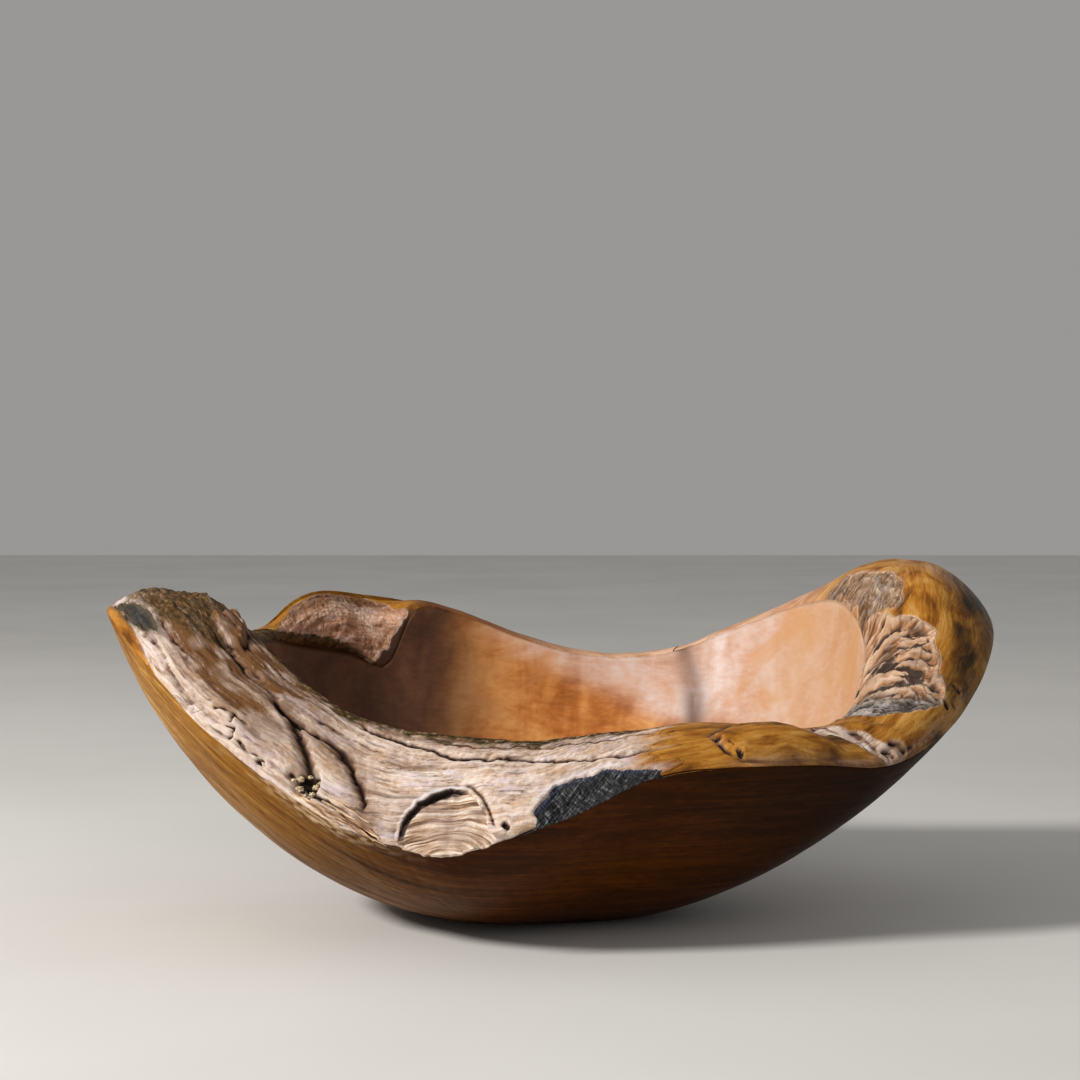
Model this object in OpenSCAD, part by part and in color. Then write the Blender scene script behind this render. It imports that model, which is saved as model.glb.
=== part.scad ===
// Carved root-wood bowl with a natural live edge.
// Origin at the centre of the sanded base, +Z up, +X towards the tall burl end, -Y towards the low front rim.
// The whole bowl is one skin over three stretches: hull (base to outer edge), rim band (outer to inner edge)
// and carved inside (inner edge to floor). Grown-in zones are layers that lie in beds sunk into the rim band.

/* [Bowl] */
// Length from the prow tip to the burl end
bowl_length = 422; // [380:1:464]
// Depth from the front rim to the back rim
bowl_depth = 268; // [241:1:295]
// Height of the burl end above the base
bowl_height = 168; // [151:1:185]
// Wood left between the base and the floor of the inside
floor_thickness = 13; // [10:0.5:18]

/* [Base] */
// Length of the sanded flat along the bowl
base_length = 100; // [80:1:130]
// Width of the sanded flat across the bowl
base_width = 64; // [50:1:80]
// Share by which the flat reaches further to the back than to the front
base_offset = 0.12; // [0:0.02:0.3]

/* [Grown zones] */
// Depth of the bed that the front sapwood crust lies in
crust_depth = 8; // [5:0.5:9]
// Depth of the beds under the thinner weathered patches
patch_depth = 5; // [3:0.5:6]
// Depth of the torn hollow in the burl end
hollow_depth = 8; // [5:0.5:9]
// Radius of the half-round fan knot
knot_radius = 25; // [20:0.5:27]
// Gap between a grown zone and its bed
seam = 0.3; // [0.2:0.05:0.5]

/* [Hidden] */

// Rim stations round the bowl, anticlockwise from +X, for the size given in drawn_size.
// angle, outer edge radius, outer edge height, inner edge radius, inner edge height, swell of the band
RIM = [
    [0, 216, 140, 155, 123, 31],    // burl end
    [10, 214, 145, 158, 137, 27],
    [21, 202, 145, 160, 146, 20],
    [32, 182, 138, 158, 143, 9],
    [45, 168, 127, 152, 131, 5],    // thin back rim
    [62, 152, 112, 138, 114, 3],
    [80, 142, 110, 128, 113, 3],
    [95, 139, 119, 126, 122, 3],
    [110, 143, 133, 130, 135, 3],
    [120, 148, 140, 133, 138, 3],
    [129, 155, 144, 130, 110, 5],   // back-left lobe with its weathered facet
    [138, 157, 147, 137, 117, 7],
    [147, 156, 143, 142, 121, 6],
    [157, 156, 131, 145, 126, 4],   // notch
    [167, 175, 122, 146, 128, 6],
    [176, 196, 140, 144, 133, 11],  // prow
    [184, 206, 147, 142, 137, 14],
    [192, 201, 141, 139, 135, 14],
    [200, 191, 127, 130, 126, 11],
    [210, 176, 102, 119, 112, 9],
    [220, 160, 81, 110, 103, 8],
    [230, 149, 65, 102, 98, 7],     // low front, where the band is widest
    [240, 140, 54, 96, 96, 6],
    [252, 132, 50, 93, 95, 6],
    [265, 129, 58, 92, 94, 6],
    [278, 129, 69, 93, 95, 6],
    [291, 134, 83, 98, 97, 5],
    [305, 145, 86, 111, 101, 7],    // oiled right front rim
    [318, 160, 85, 124, 98, 8],
    [331, 178, 83, 138, 94, 10],
    [342, 196, 97, 147, 99, 17],
    [351, 210, 121, 151, 111, 25]
];
drawn_size = [422, 268, 168];
stretch = [bowl_length / drawn_size[0], bowl_depth / drawn_size[1], bowl_height / drawn_size[2]];

column_step = 4;    // degrees between the columns of the skin
hull_rows = 9;
band_rows = 16;
inside_rows = 9;
ramp = 0.6;         // rise of a bed's sloping edge for each millimetre inwards
thin_edge = 0.9;    // depth of bed at which a layer starts

// ---- Smooth rim: every column of RIM interpolated together ----
function station(i) =
    let (n = len(RIM), whole = floor(i / n)) RIM[i - whole * n] + [360 * whole, 0, 0, 0, 0, 0];
function trend(i) =
    let (before = station(i - 1), after = station(i + 1)) (after - before) / (after[0] - before[0]);
function place(angle, i = 0) = i == len(RIM) - 1 || angle < RIM[i + 1][0] ? i : place(angle, i + 1);
function rim(angle) =
    let (
        a = angle - 360 * floor(angle / 360),
        i = place(a),
        p = station(i),
        q = station(i + 1),
        span = q[0] - p[0],
        t = (a - p[0]) / span
    )
    p * (1 + 2 * t) * pow(1 - t, 2) + trend(i) * span * t * pow(1 - t, 2)
    + q * t * t * (3 - 2 * t) + trend(i + 1) * span * t * t * (t - 1);

function bezier(p0, p1, p2, p3, t) =
    p0 * pow(1 - t, 3) + 3 * p1 * t * pow(1 - t, 2) + 3 * p2 * t * t * (1 - t) + p3 * pow(t, 3);
function in_space(angle, rz) =
    [rz[0] * cos(angle) * stretch[0], rz[0] * sin(angle) * stretch[1], rz[1] * stretch[2]];

// ---- The three stretches of the skin, each as [radius, height] at t from 0 to 1 ----
function base_radius(angle) =
    (1 + base_offset * sin(angle))
    / norm([cos(angle) * 2 / base_length, sin(angle) * 2 / base_width]);
// 0 at the front and the ends, 1 along the back, where a fuller hull and a steeper inside keep the wall sound
function back_share(angle) = let (s = min(1, max(0, 2 * sin(angle)))) s * s * (3 - 2 * s);
function hull_profile(angle, t) =
    let (
        edge = rim(angle),
        back = back_share(angle),
        base = base_radius(angle),
        reach = edge[1] - base,
        east = (1 + cos(angle)) / 2,
        west = max(0, -cos(angle))
    )
    bezier(
        [base, 0],
        [base + (0.41 - 0.06 * east + 0.10 * back) * reach, (0.055 + 0.045 * east) * edge[2]],
        [base + (0.77 - 0.01 * east + 0.08 * back + 0.07 * west * west) * reach, (0.48 + 0.06 * east - 0.03 * back) * edge[2]],
        [edge[1], edge[2]],
        t
    );
function band_profile(angle, t, sunk = 0) =
    let (
        e = rim(angle),
        chord = [e[3] - e[1], e[4] - e[2]],
        outward = [chord[1], -chord[0]] / norm(chord)
    )
    [e[1], e[2]] + chord * t + outward * (e[5] * pow(4 * t * (1 - t), 0.7) - sunk);
function inside_profile(angle, t) =
    let (
        e = rim(angle),
        r = e[3],
        z = e[4],
        deep = floor_thickness / stretch[2],
        back = back_share(angle),
        front = (1 - sin(angle)) / 2,
        shift = front * min(12, 0.6 * max(0, e[1] - r - 18)) - 5 * back
    )
    bezier([r, z], [0.93 * r + shift, z - (0.62 - 0.05 * back) * (z - deep)], [0.62 * r - 8 * back, deep],
           [0, deep], t);

// ---- Beds: a zone is [first angle, last angle, first t, last t] on the rim band ----
crust_zone = [168, 300, 0, 1];
back_left_zone = [120, 156, 0.0625, 0.75];
notch_zone = [132, 168, 0.75, 1];
hollow_zone = [336, 360, 0.1875, 0.9375];
top_zone = [360, 384, 0.5, 1];
mm_per_degree = 2.8;
band_width = 60;

function margin(zone, angle, t) =
    let (a = angle < zone[0] - 180 ? angle + 360 : angle)
    min(
        (a - zone[0]) * mm_per_degree,
        (zone[1] - a) * mm_per_degree,
        (t - zone[2]) * band_width,
        (zone[3] - t) * band_width
    );
function bed(zone, depth, angle, t) = max(0, min(depth, margin(zone, angle, t) * ramp));
function all_beds(angle, t) =
    max(
        bed(crust_zone, crust_depth, angle, t),
        bed(back_left_zone, patch_depth, angle, t),
        bed(notch_zone, patch_depth, angle, t),
        bed(hollow_zone, hollow_depth, angle, t),
        bed(top_zone, patch_depth, angle, t)
    );

// ---- Solids from rings of points ----
// Closed tube of rings that all have n points, with the first and last ring as flat or fanned ends
function tube_faces(rings, n) = concat(
    [for (i = [0 : rings - 2], j = [0 : n - 1]) let (k = (j + 1) % n) [i * n + j, i * n + k, (i + 1) * n + k]],
    [for (i = [0 : rings - 2], j = [0 : n - 1]) let (k = (j + 1) % n) [i * n + j, (i + 1) * n + k, (i + 1) * n + j]],
    [for (j = [1 : n - 2]) [0, j + 1, j]],
    [for (j = [1 : n - 2]) let (s = (rings - 1) * n) [s, s + j, s + j + 1]]
);

// A layer that fills the bed of a zone, with its own top sunk by top_sunk
module layer(zone, depth, top_sunk = 0) {
    inset = thin_edge / ramp;
    columns = [zone[0] + column_step : column_step : zone[1] - column_step];
    rows = [for (i = [0 : band_rows])
        let (t = i / band_rows) if (min(t - zone[2], zone[3] - t) * band_width > inset) t];
    last = len(rows) - 1;
    points = [for (a = columns) concat(
        [for (i = [0 : last]) in_space(a, band_profile(a, rows[i], top_sunk))],
        [for (i = [last : -1 : 0])
            in_space(a, band_profile(a, rows[i], max(bed(zone, depth, a, rows[i]) - seam, top_sunk + 0.2)))]
    )];
    polyhedron([for (ring = points) each ring], tube_faces(len(points), 2 * len(rows)));
}

module bowl_body() {
    spare = 1; // wood below the base, sanded away
    columns = [for (a = [0 : column_step : 359]) a];
    n = len(columns);
    rings = concat(
        [[for (a = columns) in_space(a, [base_radius(a), -spare])]],
        [for (i = [0 : hull_rows - 1]) [for (a = columns) in_space(a, hull_profile(a, i / hull_rows))]],
        [for (i = [0 : band_rows - 1]) let (t = i / band_rows)
            [for (a = columns) in_space(a, band_profile(a, t, all_beds(a, t)))]],
        [for (i = [0 : inside_rows - 1]) [for (a = columns) in_space(a, inside_profile(a, i / inside_rows))]]
    );
    count = len(rings);
    centre = count * n;
    points = concat([for (ring = rings) each ring], [[0, 0, floor_thickness]]);
    faces = concat(
        [[for (j = [0 : n - 1]) j]],
        [for (i = [0 : count - 2], j = [0 : n - 1]) let (k = (j + 1) % n)
            [i * n + j, (i + 1) * n + k, i * n + k]],
        [for (i = [0 : count - 2], j = [0 : n - 1]) let (k = (j + 1) % n)
            [i * n + j, (i + 1) * n + j, (i + 1) * n + k]],
        [for (j = [0 : n - 1]) [(count - 1) * n + j, centre, (count - 1) * n + (j + 1) % n]]
    );
    color("sienna") difference() {
        polyhedron(points, faces);
        // The base is sanded flat
        translate([-bowl_length / 2, -bowl_depth / 2, -2 * spare])
            cube([bowl_length, bowl_depth, 2 * spare]);
    }
}

// ---- Grown-in patches that interrupt the front crust ----
// Half-round knot, cut straight in from the front
module knot_cut(grow = 0) {
    translate([-40, -60, 52]) rotate([90, 0, 0]) cylinder(r = knot_radius + grow, h = 90, $fn = 96);
}

// Leaf-shaped patch of black heartwood
module black_cut(grow = 0) {
    translate([0, -60, 0]) rotate([90, 0, 0]) linear_extrude(90)
        offset(delta = grow) polygon([[-3, 61], [3, 71], [11, 79], [22, 85], [34, 88], [47, 86],
                                      [43, 80], [34, 76], [24, 72], [14, 66], [5, 61]]);
}

// Black patch at the prow tip, cut from above
module tip_cut(grow = 0) {
    translate([-190, -42, 100]) rotate([0, 0, -62]) scale([1.9, 1, 1]) cylinder(r = 11 + grow, h = 90, $fn = 48);
}

// Rotted knot hole at the lower edge of the crust
module hole_cut() {
    translate([-105, -60, 77]) rotate([90, 0, 0]) cylinder(r = 7.5, h = 90, $fn = 48);
}

module front_sapwood_crust() {
    color("tan") difference() {
        layer(crust_zone, crust_depth);
        knot_cut(seam);
        black_cut(seam);
        tip_cut(seam);
        hole_cut();
    }
}

module fan_knot() {
    color("burlywood") intersection() {
        layer(crust_zone, crust_depth, 1);
        knot_cut();
    }
}

module black_heart_patch() {
    color("dimgray") intersection() {
        layer(crust_zone, crust_depth, 0.6);
        black_cut();
    }
}

module tip_black_patch() {
    color("darkslategray") intersection() {
        layer(crust_zone, crust_depth, 0.4);
        tip_cut();
    }
}

// Pale crumbs of rotted wood left in the knot hole: [angle, t, diameter]
CRUMBS = [[224.6, 0.1, 4], [226, 0.17, 5], [227.4, 0.12, 4], [226.2, 0.08, 3.4]];
module knot_hole_crumbs() {
    color("wheat") for (crumb = CRUMBS)
        translate(in_space(crumb[0], band_profile(crumb[0], crumb[1], 1)))
            sphere(d = crumb[2], $fn = 24);
}

// Sliver that has split off the lower edge of the crust: [angle, t, radius]
SLIVER = [[227.5, 0.02, 1.1], [232, 0.02, 1.3], [236, 0.015, 1.1], [239.5, -0.01, 0.6]];
module rim_splinter() {
    lift = -1.8;
    color("peru") for (i = [0 : len(SLIVER) - 2]) hull() for (s = [SLIVER[i], SLIVER[i + 1]])
        translate(in_space(s[0], band_profile(s[0], max(s[1], 0), lift) + [0, s[1] * band_width]))
            sphere(r = s[2], $fn = 12);
}

module back_left_sapwood() {
    color("rosybrown") layer(back_left_zone, patch_depth);
}

module notch_bark_strip() {
    color("darkolivegreen") layer(notch_zone, patch_depth);
}

module right_top_sapwood() {
    color("rosybrown") layer(top_zone, patch_depth);
}

// Torn layers of bark that stand in the hollow: [column, first row, last row, top sunk]
SLATS = [[1, 5, 12, 4.5], [2, 5, 13, 3], [3, 5, 13, 4], [4, 5, 13, 2.5]];
slat_thinnest = 0.8;
slat_side_gap = 0.7; // degrees left free at each side of a slat
module right_bark_layers() {
    color("peru") for (slat = SLATS) {
        left = hollow_zone[0] + slat[0] * column_step;
        right = left + column_step;
        f = slat_side_gap / column_step;
        deep = function (a, t) bed(hollow_zone, hollow_depth, a, t) - seam;
        // The bed is straight between two columns, so a point on it is shared out between them
        on_bed = function (t, share)
            in_space(left, band_profile(left, t, deep(left, t))) * (1 - share)
            + in_space(right, band_profile(right, t, deep(right, t))) * share;
        on_top = function (t, a)
            in_space(a, band_profile(a, t, min(slat[3], min(deep(left, t), deep(right, t)) - slat_thinnest)));
        rings = [for (i = [slat[1] : slat[2]]) let (t = i / band_rows)
            [on_bed(t, f), on_bed(t, 1 - f), on_top(t, right - slat_side_gap), on_top(t, left + slat_side_gap)]];
        polyhedron([for (ring = rings) each ring], tube_faces(len(rings), 4));
    }
}

bowl_body();
front_sapwood_crust();
fan_knot();
black_heart_patch();
tip_black_patch();
knot_hole_crumbs();
rim_splinter();
back_left_sapwood();
notch_bark_strip();
right_bark_layers();
right_top_sapwood();
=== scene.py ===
"""Carved root-wood bowl: the looks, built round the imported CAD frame.

The bowl is one skin in three stretches (hull, rim band, carved inside), described as in the CAD source:
polar stations round the bowl, and t from 0 to 1 along each stretch. Lengths are millimetres until a mesh
is made. On the rim band every feature is drawn in (angle, t) and measured on the unrolled band (run, rise).
"""
import math
from types import SimpleNamespace

import bmesh
import bpy
import numpy as np
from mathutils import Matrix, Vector


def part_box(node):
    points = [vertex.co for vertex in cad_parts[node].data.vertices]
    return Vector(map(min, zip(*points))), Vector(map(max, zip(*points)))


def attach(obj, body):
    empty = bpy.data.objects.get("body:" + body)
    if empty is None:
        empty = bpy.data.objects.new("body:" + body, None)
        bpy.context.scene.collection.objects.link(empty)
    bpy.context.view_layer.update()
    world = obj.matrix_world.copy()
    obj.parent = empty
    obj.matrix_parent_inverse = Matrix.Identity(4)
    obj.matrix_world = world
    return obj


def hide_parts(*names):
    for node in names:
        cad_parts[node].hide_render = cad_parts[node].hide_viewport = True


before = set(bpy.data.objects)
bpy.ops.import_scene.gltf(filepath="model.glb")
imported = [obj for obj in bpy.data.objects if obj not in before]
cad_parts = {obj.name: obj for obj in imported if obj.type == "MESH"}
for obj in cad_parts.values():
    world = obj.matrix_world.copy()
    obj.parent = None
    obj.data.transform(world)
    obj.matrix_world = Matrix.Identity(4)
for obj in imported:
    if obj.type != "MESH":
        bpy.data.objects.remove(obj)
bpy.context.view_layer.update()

MM = 0.001

# ---------------------------------------------------------------- shape, as in the CAD source
# angle, outer edge radius, outer edge height, inner edge radius, inner edge height, swell of the band
RIM = np.array([
    [0, 216, 140, 155, 123, 31], [10, 214, 145, 158, 137, 27], [21, 202, 145, 160, 146, 20],
    [32, 182, 138, 158, 143, 9], [45, 168, 127, 152, 131, 5], [62, 152, 112, 138, 114, 3],
    [80, 142, 110, 128, 113, 3], [95, 139, 119, 126, 122, 3], [110, 143, 133, 130, 135, 3],
    [120, 148, 140, 133, 138, 3], [129, 155, 144, 130, 110, 5], [138, 157, 147, 137, 117, 7],
    [147, 156, 143, 142, 121, 6], [157, 156, 131, 145, 126, 4], [167, 175, 122, 146, 128, 6],
    [176, 196, 140, 144, 133, 11], [184, 206, 147, 142, 137, 14], [192, 201, 141, 139, 135, 14],
    [200, 191, 127, 130, 126, 11], [210, 176, 102, 119, 112, 9], [220, 160, 81, 110, 103, 8],
    [230, 149, 65, 102, 98, 7], [240, 140, 54, 96, 96, 6], [252, 132, 50, 93, 95, 6],
    [265, 129, 58, 92, 94, 6], [278, 129, 69, 93, 95, 6], [291, 134, 83, 98, 97, 5],
    [305, 145, 86, 111, 101, 7], [318, 160, 85, 124, 98, 8], [331, 178, 83, 138, 94, 10],
    [342, 196, 97, 147, 99, 17], [351, 210, 121, 151, 111, 25]], float)
SKIN_SIZE = np.array([421.5, 268.5, 168.2])    # extent of the skin that the table gives
BASE_SIZE = (100.0, 64.0)
FLOOR = 13.0

body_lo, body_hi = (np.array(corner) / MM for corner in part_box("bowl_body"))
STRETCH = (body_hi - body_lo) / SKIN_SIZE


def hermite_table(angle):
    """Smooth rim values at any angles, as five arrays."""
    n = len(RIM)
    whole = np.zeros(6)
    whole[0] = 360.0
    knots = np.vstack([RIM[-2:] - whole, RIM, RIM[:3] + whole])
    slope = np.zeros_like(knots)
    slope[1:-1] = (knots[2:] - knots[:-2]) / (knots[2:, :1] - knots[:-2, :1])
    a = np.mod(angle, 360.0)
    i = np.clip(np.searchsorted(knots[:, 0], a, side="right") - 1, 1, n + 2)
    span = knots[i + 1, 0] - knots[i, 0]
    t = (a - knots[i, 0]) / span
    weights = ((1 + 2 * t) * (1 - t) ** 2, t * (1 - t) ** 2 * span,
               t * t * (3 - 2 * t), t * t * (t - 1) * span)
    return [weights[0] * knots[i, c] + weights[1] * slope[i, c] + weights[2] * knots[i + 1, c]
            + weights[3] * slope[i + 1, c] for c in range(1, 6)]


# ---------------------------------------------------------------- noise
def lattice(ix, iy, iz, seed):
    h = (ix * 374761393 + iy * 668265263 + iz * 1274126177 + seed * 974711) & 0xFFFFFFFF
    h = ((h ^ (h >> 13)) * 1103515245) & 0xFFFFFFFF
    h = ((h ^ (h >> 15)) * 2246822519) & 0xFFFFFFFF
    return ((h ^ (h >> 16)) & 0xFFFFFF) / float(0xFFFFFF) * 2 - 1


def noise(x, y, z=0.0, seed=0):
    """Smooth value noise from -1 to 1 on unit cells."""
    x, y, z = np.broadcast_arrays(np.asarray(x, float), y, z)
    cells = [np.floor(v).astype(np.int64) for v in (x, y, z)]
    fx, fy, fz = (v - c for v, c in zip((x, y, z), cells))
    fx, fy, fz = (f * f * f * (f * (f * 6 - 15) + 10) for f in (fx, fy, fz))
    out = 0.0
    for dx, wx in ((0, 1 - fx), (1, fx)):
        for dy, wy in ((0, 1 - fy), (1, fy)):
            for dz, wz in ((0, 1 - fz), (1, fz)):
                out = out + wx * wy * wz * lattice(cells[0] + dx, cells[1] + dy, cells[2] + dz, seed)
    return out


def fbm(x, y, z=0.0, seed=0, octaves=3, gain=0.5):
    total, size, amount = 0.0, 1.0, 1.0
    for k in range(octaves):
        total = total + amount * noise(x * size, y * size, z * size, seed + 17 * k)
        size, amount = size * 2.03, amount * gain
    return total


def step(low, high, x):
    t = np.clip((x - low) / (high - low), 0, 1)
    return t * t * (3 - 2 * t)


def bell(x, width):
    return np.exp(-(x / width) ** 2)


def bezier(points, t):
    p0, p1, p2, p3 = points
    return p0 * (1 - t) ** 3 + 3 * p1 * t * (1 - t) ** 2 + 3 * p2 * t * t * (1 - t) + p3 * t ** 3


# ---------------------------------------------------------------- the three stretches of the skin
def rim(angle):
    """Rim values with the small waver of a natural edge."""
    r_out, z_out, r_in, z_in, swell = hermite_table(angle)
    c, s = np.cos(np.radians(angle)), np.sin(np.radians(angle))
    turn = np.mod(angle, 360)
    wild = step(192, 204, turn) * (1 - step(292, 300, turn))
    for size, amount in ((6.0, 0.9), (15.0, 0.5), (40.0, 0.25)):
        waver = amount * (0.3 + 0.7 * wild) * (1 - 0.9 * bell(turn - 186, 12))
        r_out = r_out + waver * noise(c * size, s * size, 0.3, 5)
        z_out = z_out + waver * noise(c * size, s * size, 5.3, 6)
        z_in = z_in + 0.7 * waver * noise(c * size, s * size, 9.3, 7)
    return r_out, z_out, r_in, z_in, swell


def in_space(angle, r, z):
    a = np.radians(angle)
    return np.stack([r * np.cos(a) * STRETCH[0], r * np.sin(a) * STRETCH[1], z * STRETCH[2]], -1)


def back_share(angle):
    """0 at the front and the ends, 1 along the back, where the hull is fuller and the inside steeper."""
    return step(0.0, 0.5, np.sin(np.radians(angle)))


def hull_point(angle, t, height=0.0):
    r_out, z_out = rim(angle)[:2]
    c, s = np.cos(np.radians(angle)), np.sin(np.radians(angle))
    base = (1 + 0.12 * s) / np.hypot(c * 2 / BASE_SIZE[0], s * 2 / BASE_SIZE[1])
    reach, east = r_out - base, (1 + c) / 2
    back, west = back_share(angle), np.maximum(0, -c)
    r = bezier((base, base + (0.41 - 0.06 * east + 0.10 * back) * reach,
                base + (0.77 - 0.01 * east + 0.08 * back + 0.07 * west * west) * reach, r_out), t)
    z = bezier((0, (0.055 + 0.045 * east) * z_out, (0.48 + 0.06 * east - 0.03 * back) * z_out, z_out), t)
    return in_space(angle, r + 0.75 * height, z - 0.65 * height)


def band_point(angle, t, height=0.0):
    r_out, z_out, r_in, z_in, swell = rim(angle)
    dr, dz = r_in - r_out, z_in - z_out
    width = np.hypot(dr, dz)
    inside = np.clip(t, 0, 1)
    lift = swell * (4 * inside * (1 - inside)) ** 0.7 + height
    # whatever is sunk beside the outer edge also draws back from it, so that it stays behind the hull
    t = t + 0.6 * np.maximum(0, -np.asarray(height)) / width * (1 - inside) ** 10
    return in_space(angle, r_out + dr * t + dz / width * lift, z_out + dz * t - dr / width * lift)


def inside_point(angle, t, height=0.0):
    r_out, _, r, z, _ = rim(angle)
    front = (1 - np.sin(np.radians(angle))) / 2
    back = back_share(angle)
    shift = front * np.minimum(12, 0.6 * np.maximum(0, r_out - r - 18)) - 5 * back
    rr = bezier((r, 0.93 * r + shift, 0.62 * r - 8 * back, 0), t)
    zz = bezier((z, z - (0.62 - 0.05 * back) * (z - FLOOR), FLOOR, FLOOR), t)
    return in_space(angle, rr - height * (1 - t), zz + height * t)


# ---------------------------------------------------------------- the unrolled band
ROUND = np.arange(-60.0, 420.5, 0.5)
middle_line = band_point(ROUND, np.full_like(ROUND, 0.4))
RUN = np.concatenate([[0], np.cumsum(np.linalg.norm(np.diff(middle_line, axis=0), axis=1))])


def width_at(angle):
    r_out, z_out, r_in, z_in, _ = hermite_table(angle)
    return np.hypot(r_in - r_out, z_in - z_out)


def unroll(angle, t):
    """Run along the band and rise across it, in millimetres."""
    return np.interp(angle, ROUND, RUN), t * width_at(angle)


def path_distance(place, path):
    """Distance from (run, rise) to a drawn path, how far along it, and which side (positive on its left)."""
    run, rise = place
    knots = np.array(path, float)
    kx, ky = unroll(knots[:, 0], knots[:, 1])
    best = np.full(run.shape, 1e9)
    along, side = np.zeros(run.shape), np.zeros(run.shape)
    legs = np.hypot(np.diff(kx), np.diff(ky))
    marks = np.concatenate([[0], np.cumsum(legs)]) / legs.sum()
    for i, leg in enumerate(legs):
        ex, ey = (kx[i + 1] - kx[i]) / leg, (ky[i + 1] - ky[i]) / leg
        px, py = run - kx[i], rise - ky[i]
        u = np.clip(px * ex + py * ey, 0, leg)
        d = np.hypot(px - u * ex, py - u * ey)
        near = d < best
        best = np.where(near, d, best)
        along = np.where(near, marks[i] + (marks[i + 1] - marks[i]) * u / leg, along)
        side = np.where(near, ex * py - ey * px, side)
    return best, along, side


def outline_depth(place, outline):
    """Millimetres inside a closed drawn outline; negative outside."""
    run, rise = place
    knots = np.array(outline + outline[:1], float)
    d, _, _ = path_distance(place, knots)
    kx, ky = unroll(knots[:, 0], knots[:, 1])
    odd = np.zeros(run.shape, bool)
    for x0, y0, x1, y1 in zip(kx[:-1], ky[:-1], kx[1:], ky[1:]):
        if y0 != y1:
            odd ^= ((y0 > rise) != (y1 > rise)) & (run < (x1 - x0) * (rise - y0) / (y1 - y0) + x0)
    return np.where(odd, d, -d)


# ---------------------------------------------------------------- features of the rim band, as (angle, t)
GROOVE_LONG = [(197, .56), (202, .54), (207, .55), (212, .56), (216, .55), (221, .52), (225, .53),
               (229.5, .47), (233, .36), (236, .22), (237, .08)]
GROOVE_HOLE = [(212, .56), (216.5, .52), (221, .40), (224.5, .28), (226, .16)]
GROOVE_LIP = [(222, .93), (226.5, .84), (235.5, .80), (247, .78), (256, .76), (266, .71), (275, .58),
              (289, .38), (296, .42)]
GROOVE_LIP_2 = [(240, .90), (252, .88), (266, .86), (280, .78), (292, .70), (303, .66)]
FOLDS = [[(190, .34), (197.5, .24), (203, .28), (207, .31), (211.5, .31), (218.5, .23), (223, .12)],
         [(192, .12), (199, .12), (205, .08), (212, .10)],
         [(186, .60), (193, .70), (200, .72), (208, .74), (216, .78)],
         [(214, .66), (220, .68), (226, .70), (234, .66), (242, .66)]]
FLAKES = [[(210.5, .18), (212.5, .22), (214.2, .25)], [(212.5, .22), (213.2, .15)],
          [(212.8, .12), (214, .14), (214.3, .05)], [(211, .18), (210.3, .12)], [(215, .10), (217, .07)]]
SLIVER_SPLIT = [(227, .05), (230.5, .10), (235.5, .06), (240, -.01)]
KNOT_HOLE = (226.0, .135)
PITS = [(209, .03, 2.0), (219.5, .045, 2.0), (218.4, .06, 1.3), (263, .075, 1.8), (259, .16, 0.9)]
LOBE_KNOTS = [(342.6, .09, 1.7), (344.8, .06, 1.8), (343.4, .035, 1.2)]
FAN_KNOT = [(243.2, -.06), (243.2, .09), (243.8, .22), (245, .33), (247.5, .42), (251, .475), (254.5, .45),
            (257, .36), (258.8, .24), (260, .10), (262.3, 0), (262.5, -.06)]
KNOT_MIDDLE = (251.5, 0.0)
KNOT_CREASE = [(252, .51), (255, .48), (257.6, .38), (259.6, .25), (260.8, .12), (262.2, .03)]
BLACK_HEART = [(267.6, -.06), (268.6, .10), (270.8, .25), (273.5, .34), (277, .38), (282, .32), (286.5, .24),
               (291, .12), (292, .02), (290, -.06), (278, -.06)]
TIP_BLACK = [(187, .06), (188.5, .13), (191, .17), (194.5, .20), (197.3, .19), (198, .15), (196, .09),
             (193, .065), (190, .055)]
PROW_MOSS = [(183, .15), (186, .12), (195, .22), (199, .36), (203, .50), (198, .70), (195, .95), (172, .98),
             (170, .3)]
PALE_LUMP = [(196, .60), (195, .72), (192.5, .86), (197.5, .86), (203.5, .63), (200.5, .57)]
LENS = [(303.5, .42), (310.5, .68), (317, .78), (320, .58), (322.5, .34), (324, .15), (320, .02),
        (311.5, .01), (306.5, .06), (304.5, .18)]
LENS_HOLES = [(304.6, .36, 2.0), (306.2, .13, 1.6), (305.5, .25, 0.9)]
GOUGE = [(322.5, .64), (327, .62), (328.7, .47), (329.2, .30), (330.2, .15), (332, .06)]
GOUGE_HOLES = [(331.2, .09, 2.6), (334.3, .06, 1.8)]
GOUGE_RIDGE = [(326, .74), (331, .60), (332.5, .38), (334, .18), (336, .03)]
HOLLOW = [(365, 1.03), (363, .93), (357, .80), (353.5, .66), (352, .50), (350, .35), (347.5, .26),
          (345, .22), (344, .13), (342, .10), (339.5, .20), (337, .37), (335, .55), (334.5, .80),
          (336, 1.03), (350, 1.03)]
TOP_PATCH = [(386, 1.02), (382.5, .86), (376, .80), (370, .72), (363.5, .63), (358.5, .56), (356, .60),
             (355.5, .66), (357, .79), (361.5, .90), (366, 1.02)]
WORN_BLOTCH = [(364, .38), (361.5, .30), (359, .24)]
TOP_CRACK = [(354.5, .66), (355.5, .58), (357, .47)]
BACK_FACET = [(157, .84), (154, .35), (149, .13), (144, .08), (139, .05), (132.5, .02), (128.5, .04),
              (125.5, .22), (122.3, .85), (124, .81), (126, .80), (131, .92), (132.5, .98), (134.5, .98),
              (137.5, .96), (140, .91), (144.5, .88), (149, .82), (153, .77)]
NOTCH_MOSS = [(130, 1.03), (134, .95), (141, .88), (149, .82), (155, .76), (160, .55), (167, .45), (174, .72),
              (180, .88), (176, 1.03), (150, 1.03)]
START, END = 60.0, 420.0    # where angles on the band begin and end, at its plainest place on the back rim


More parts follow.
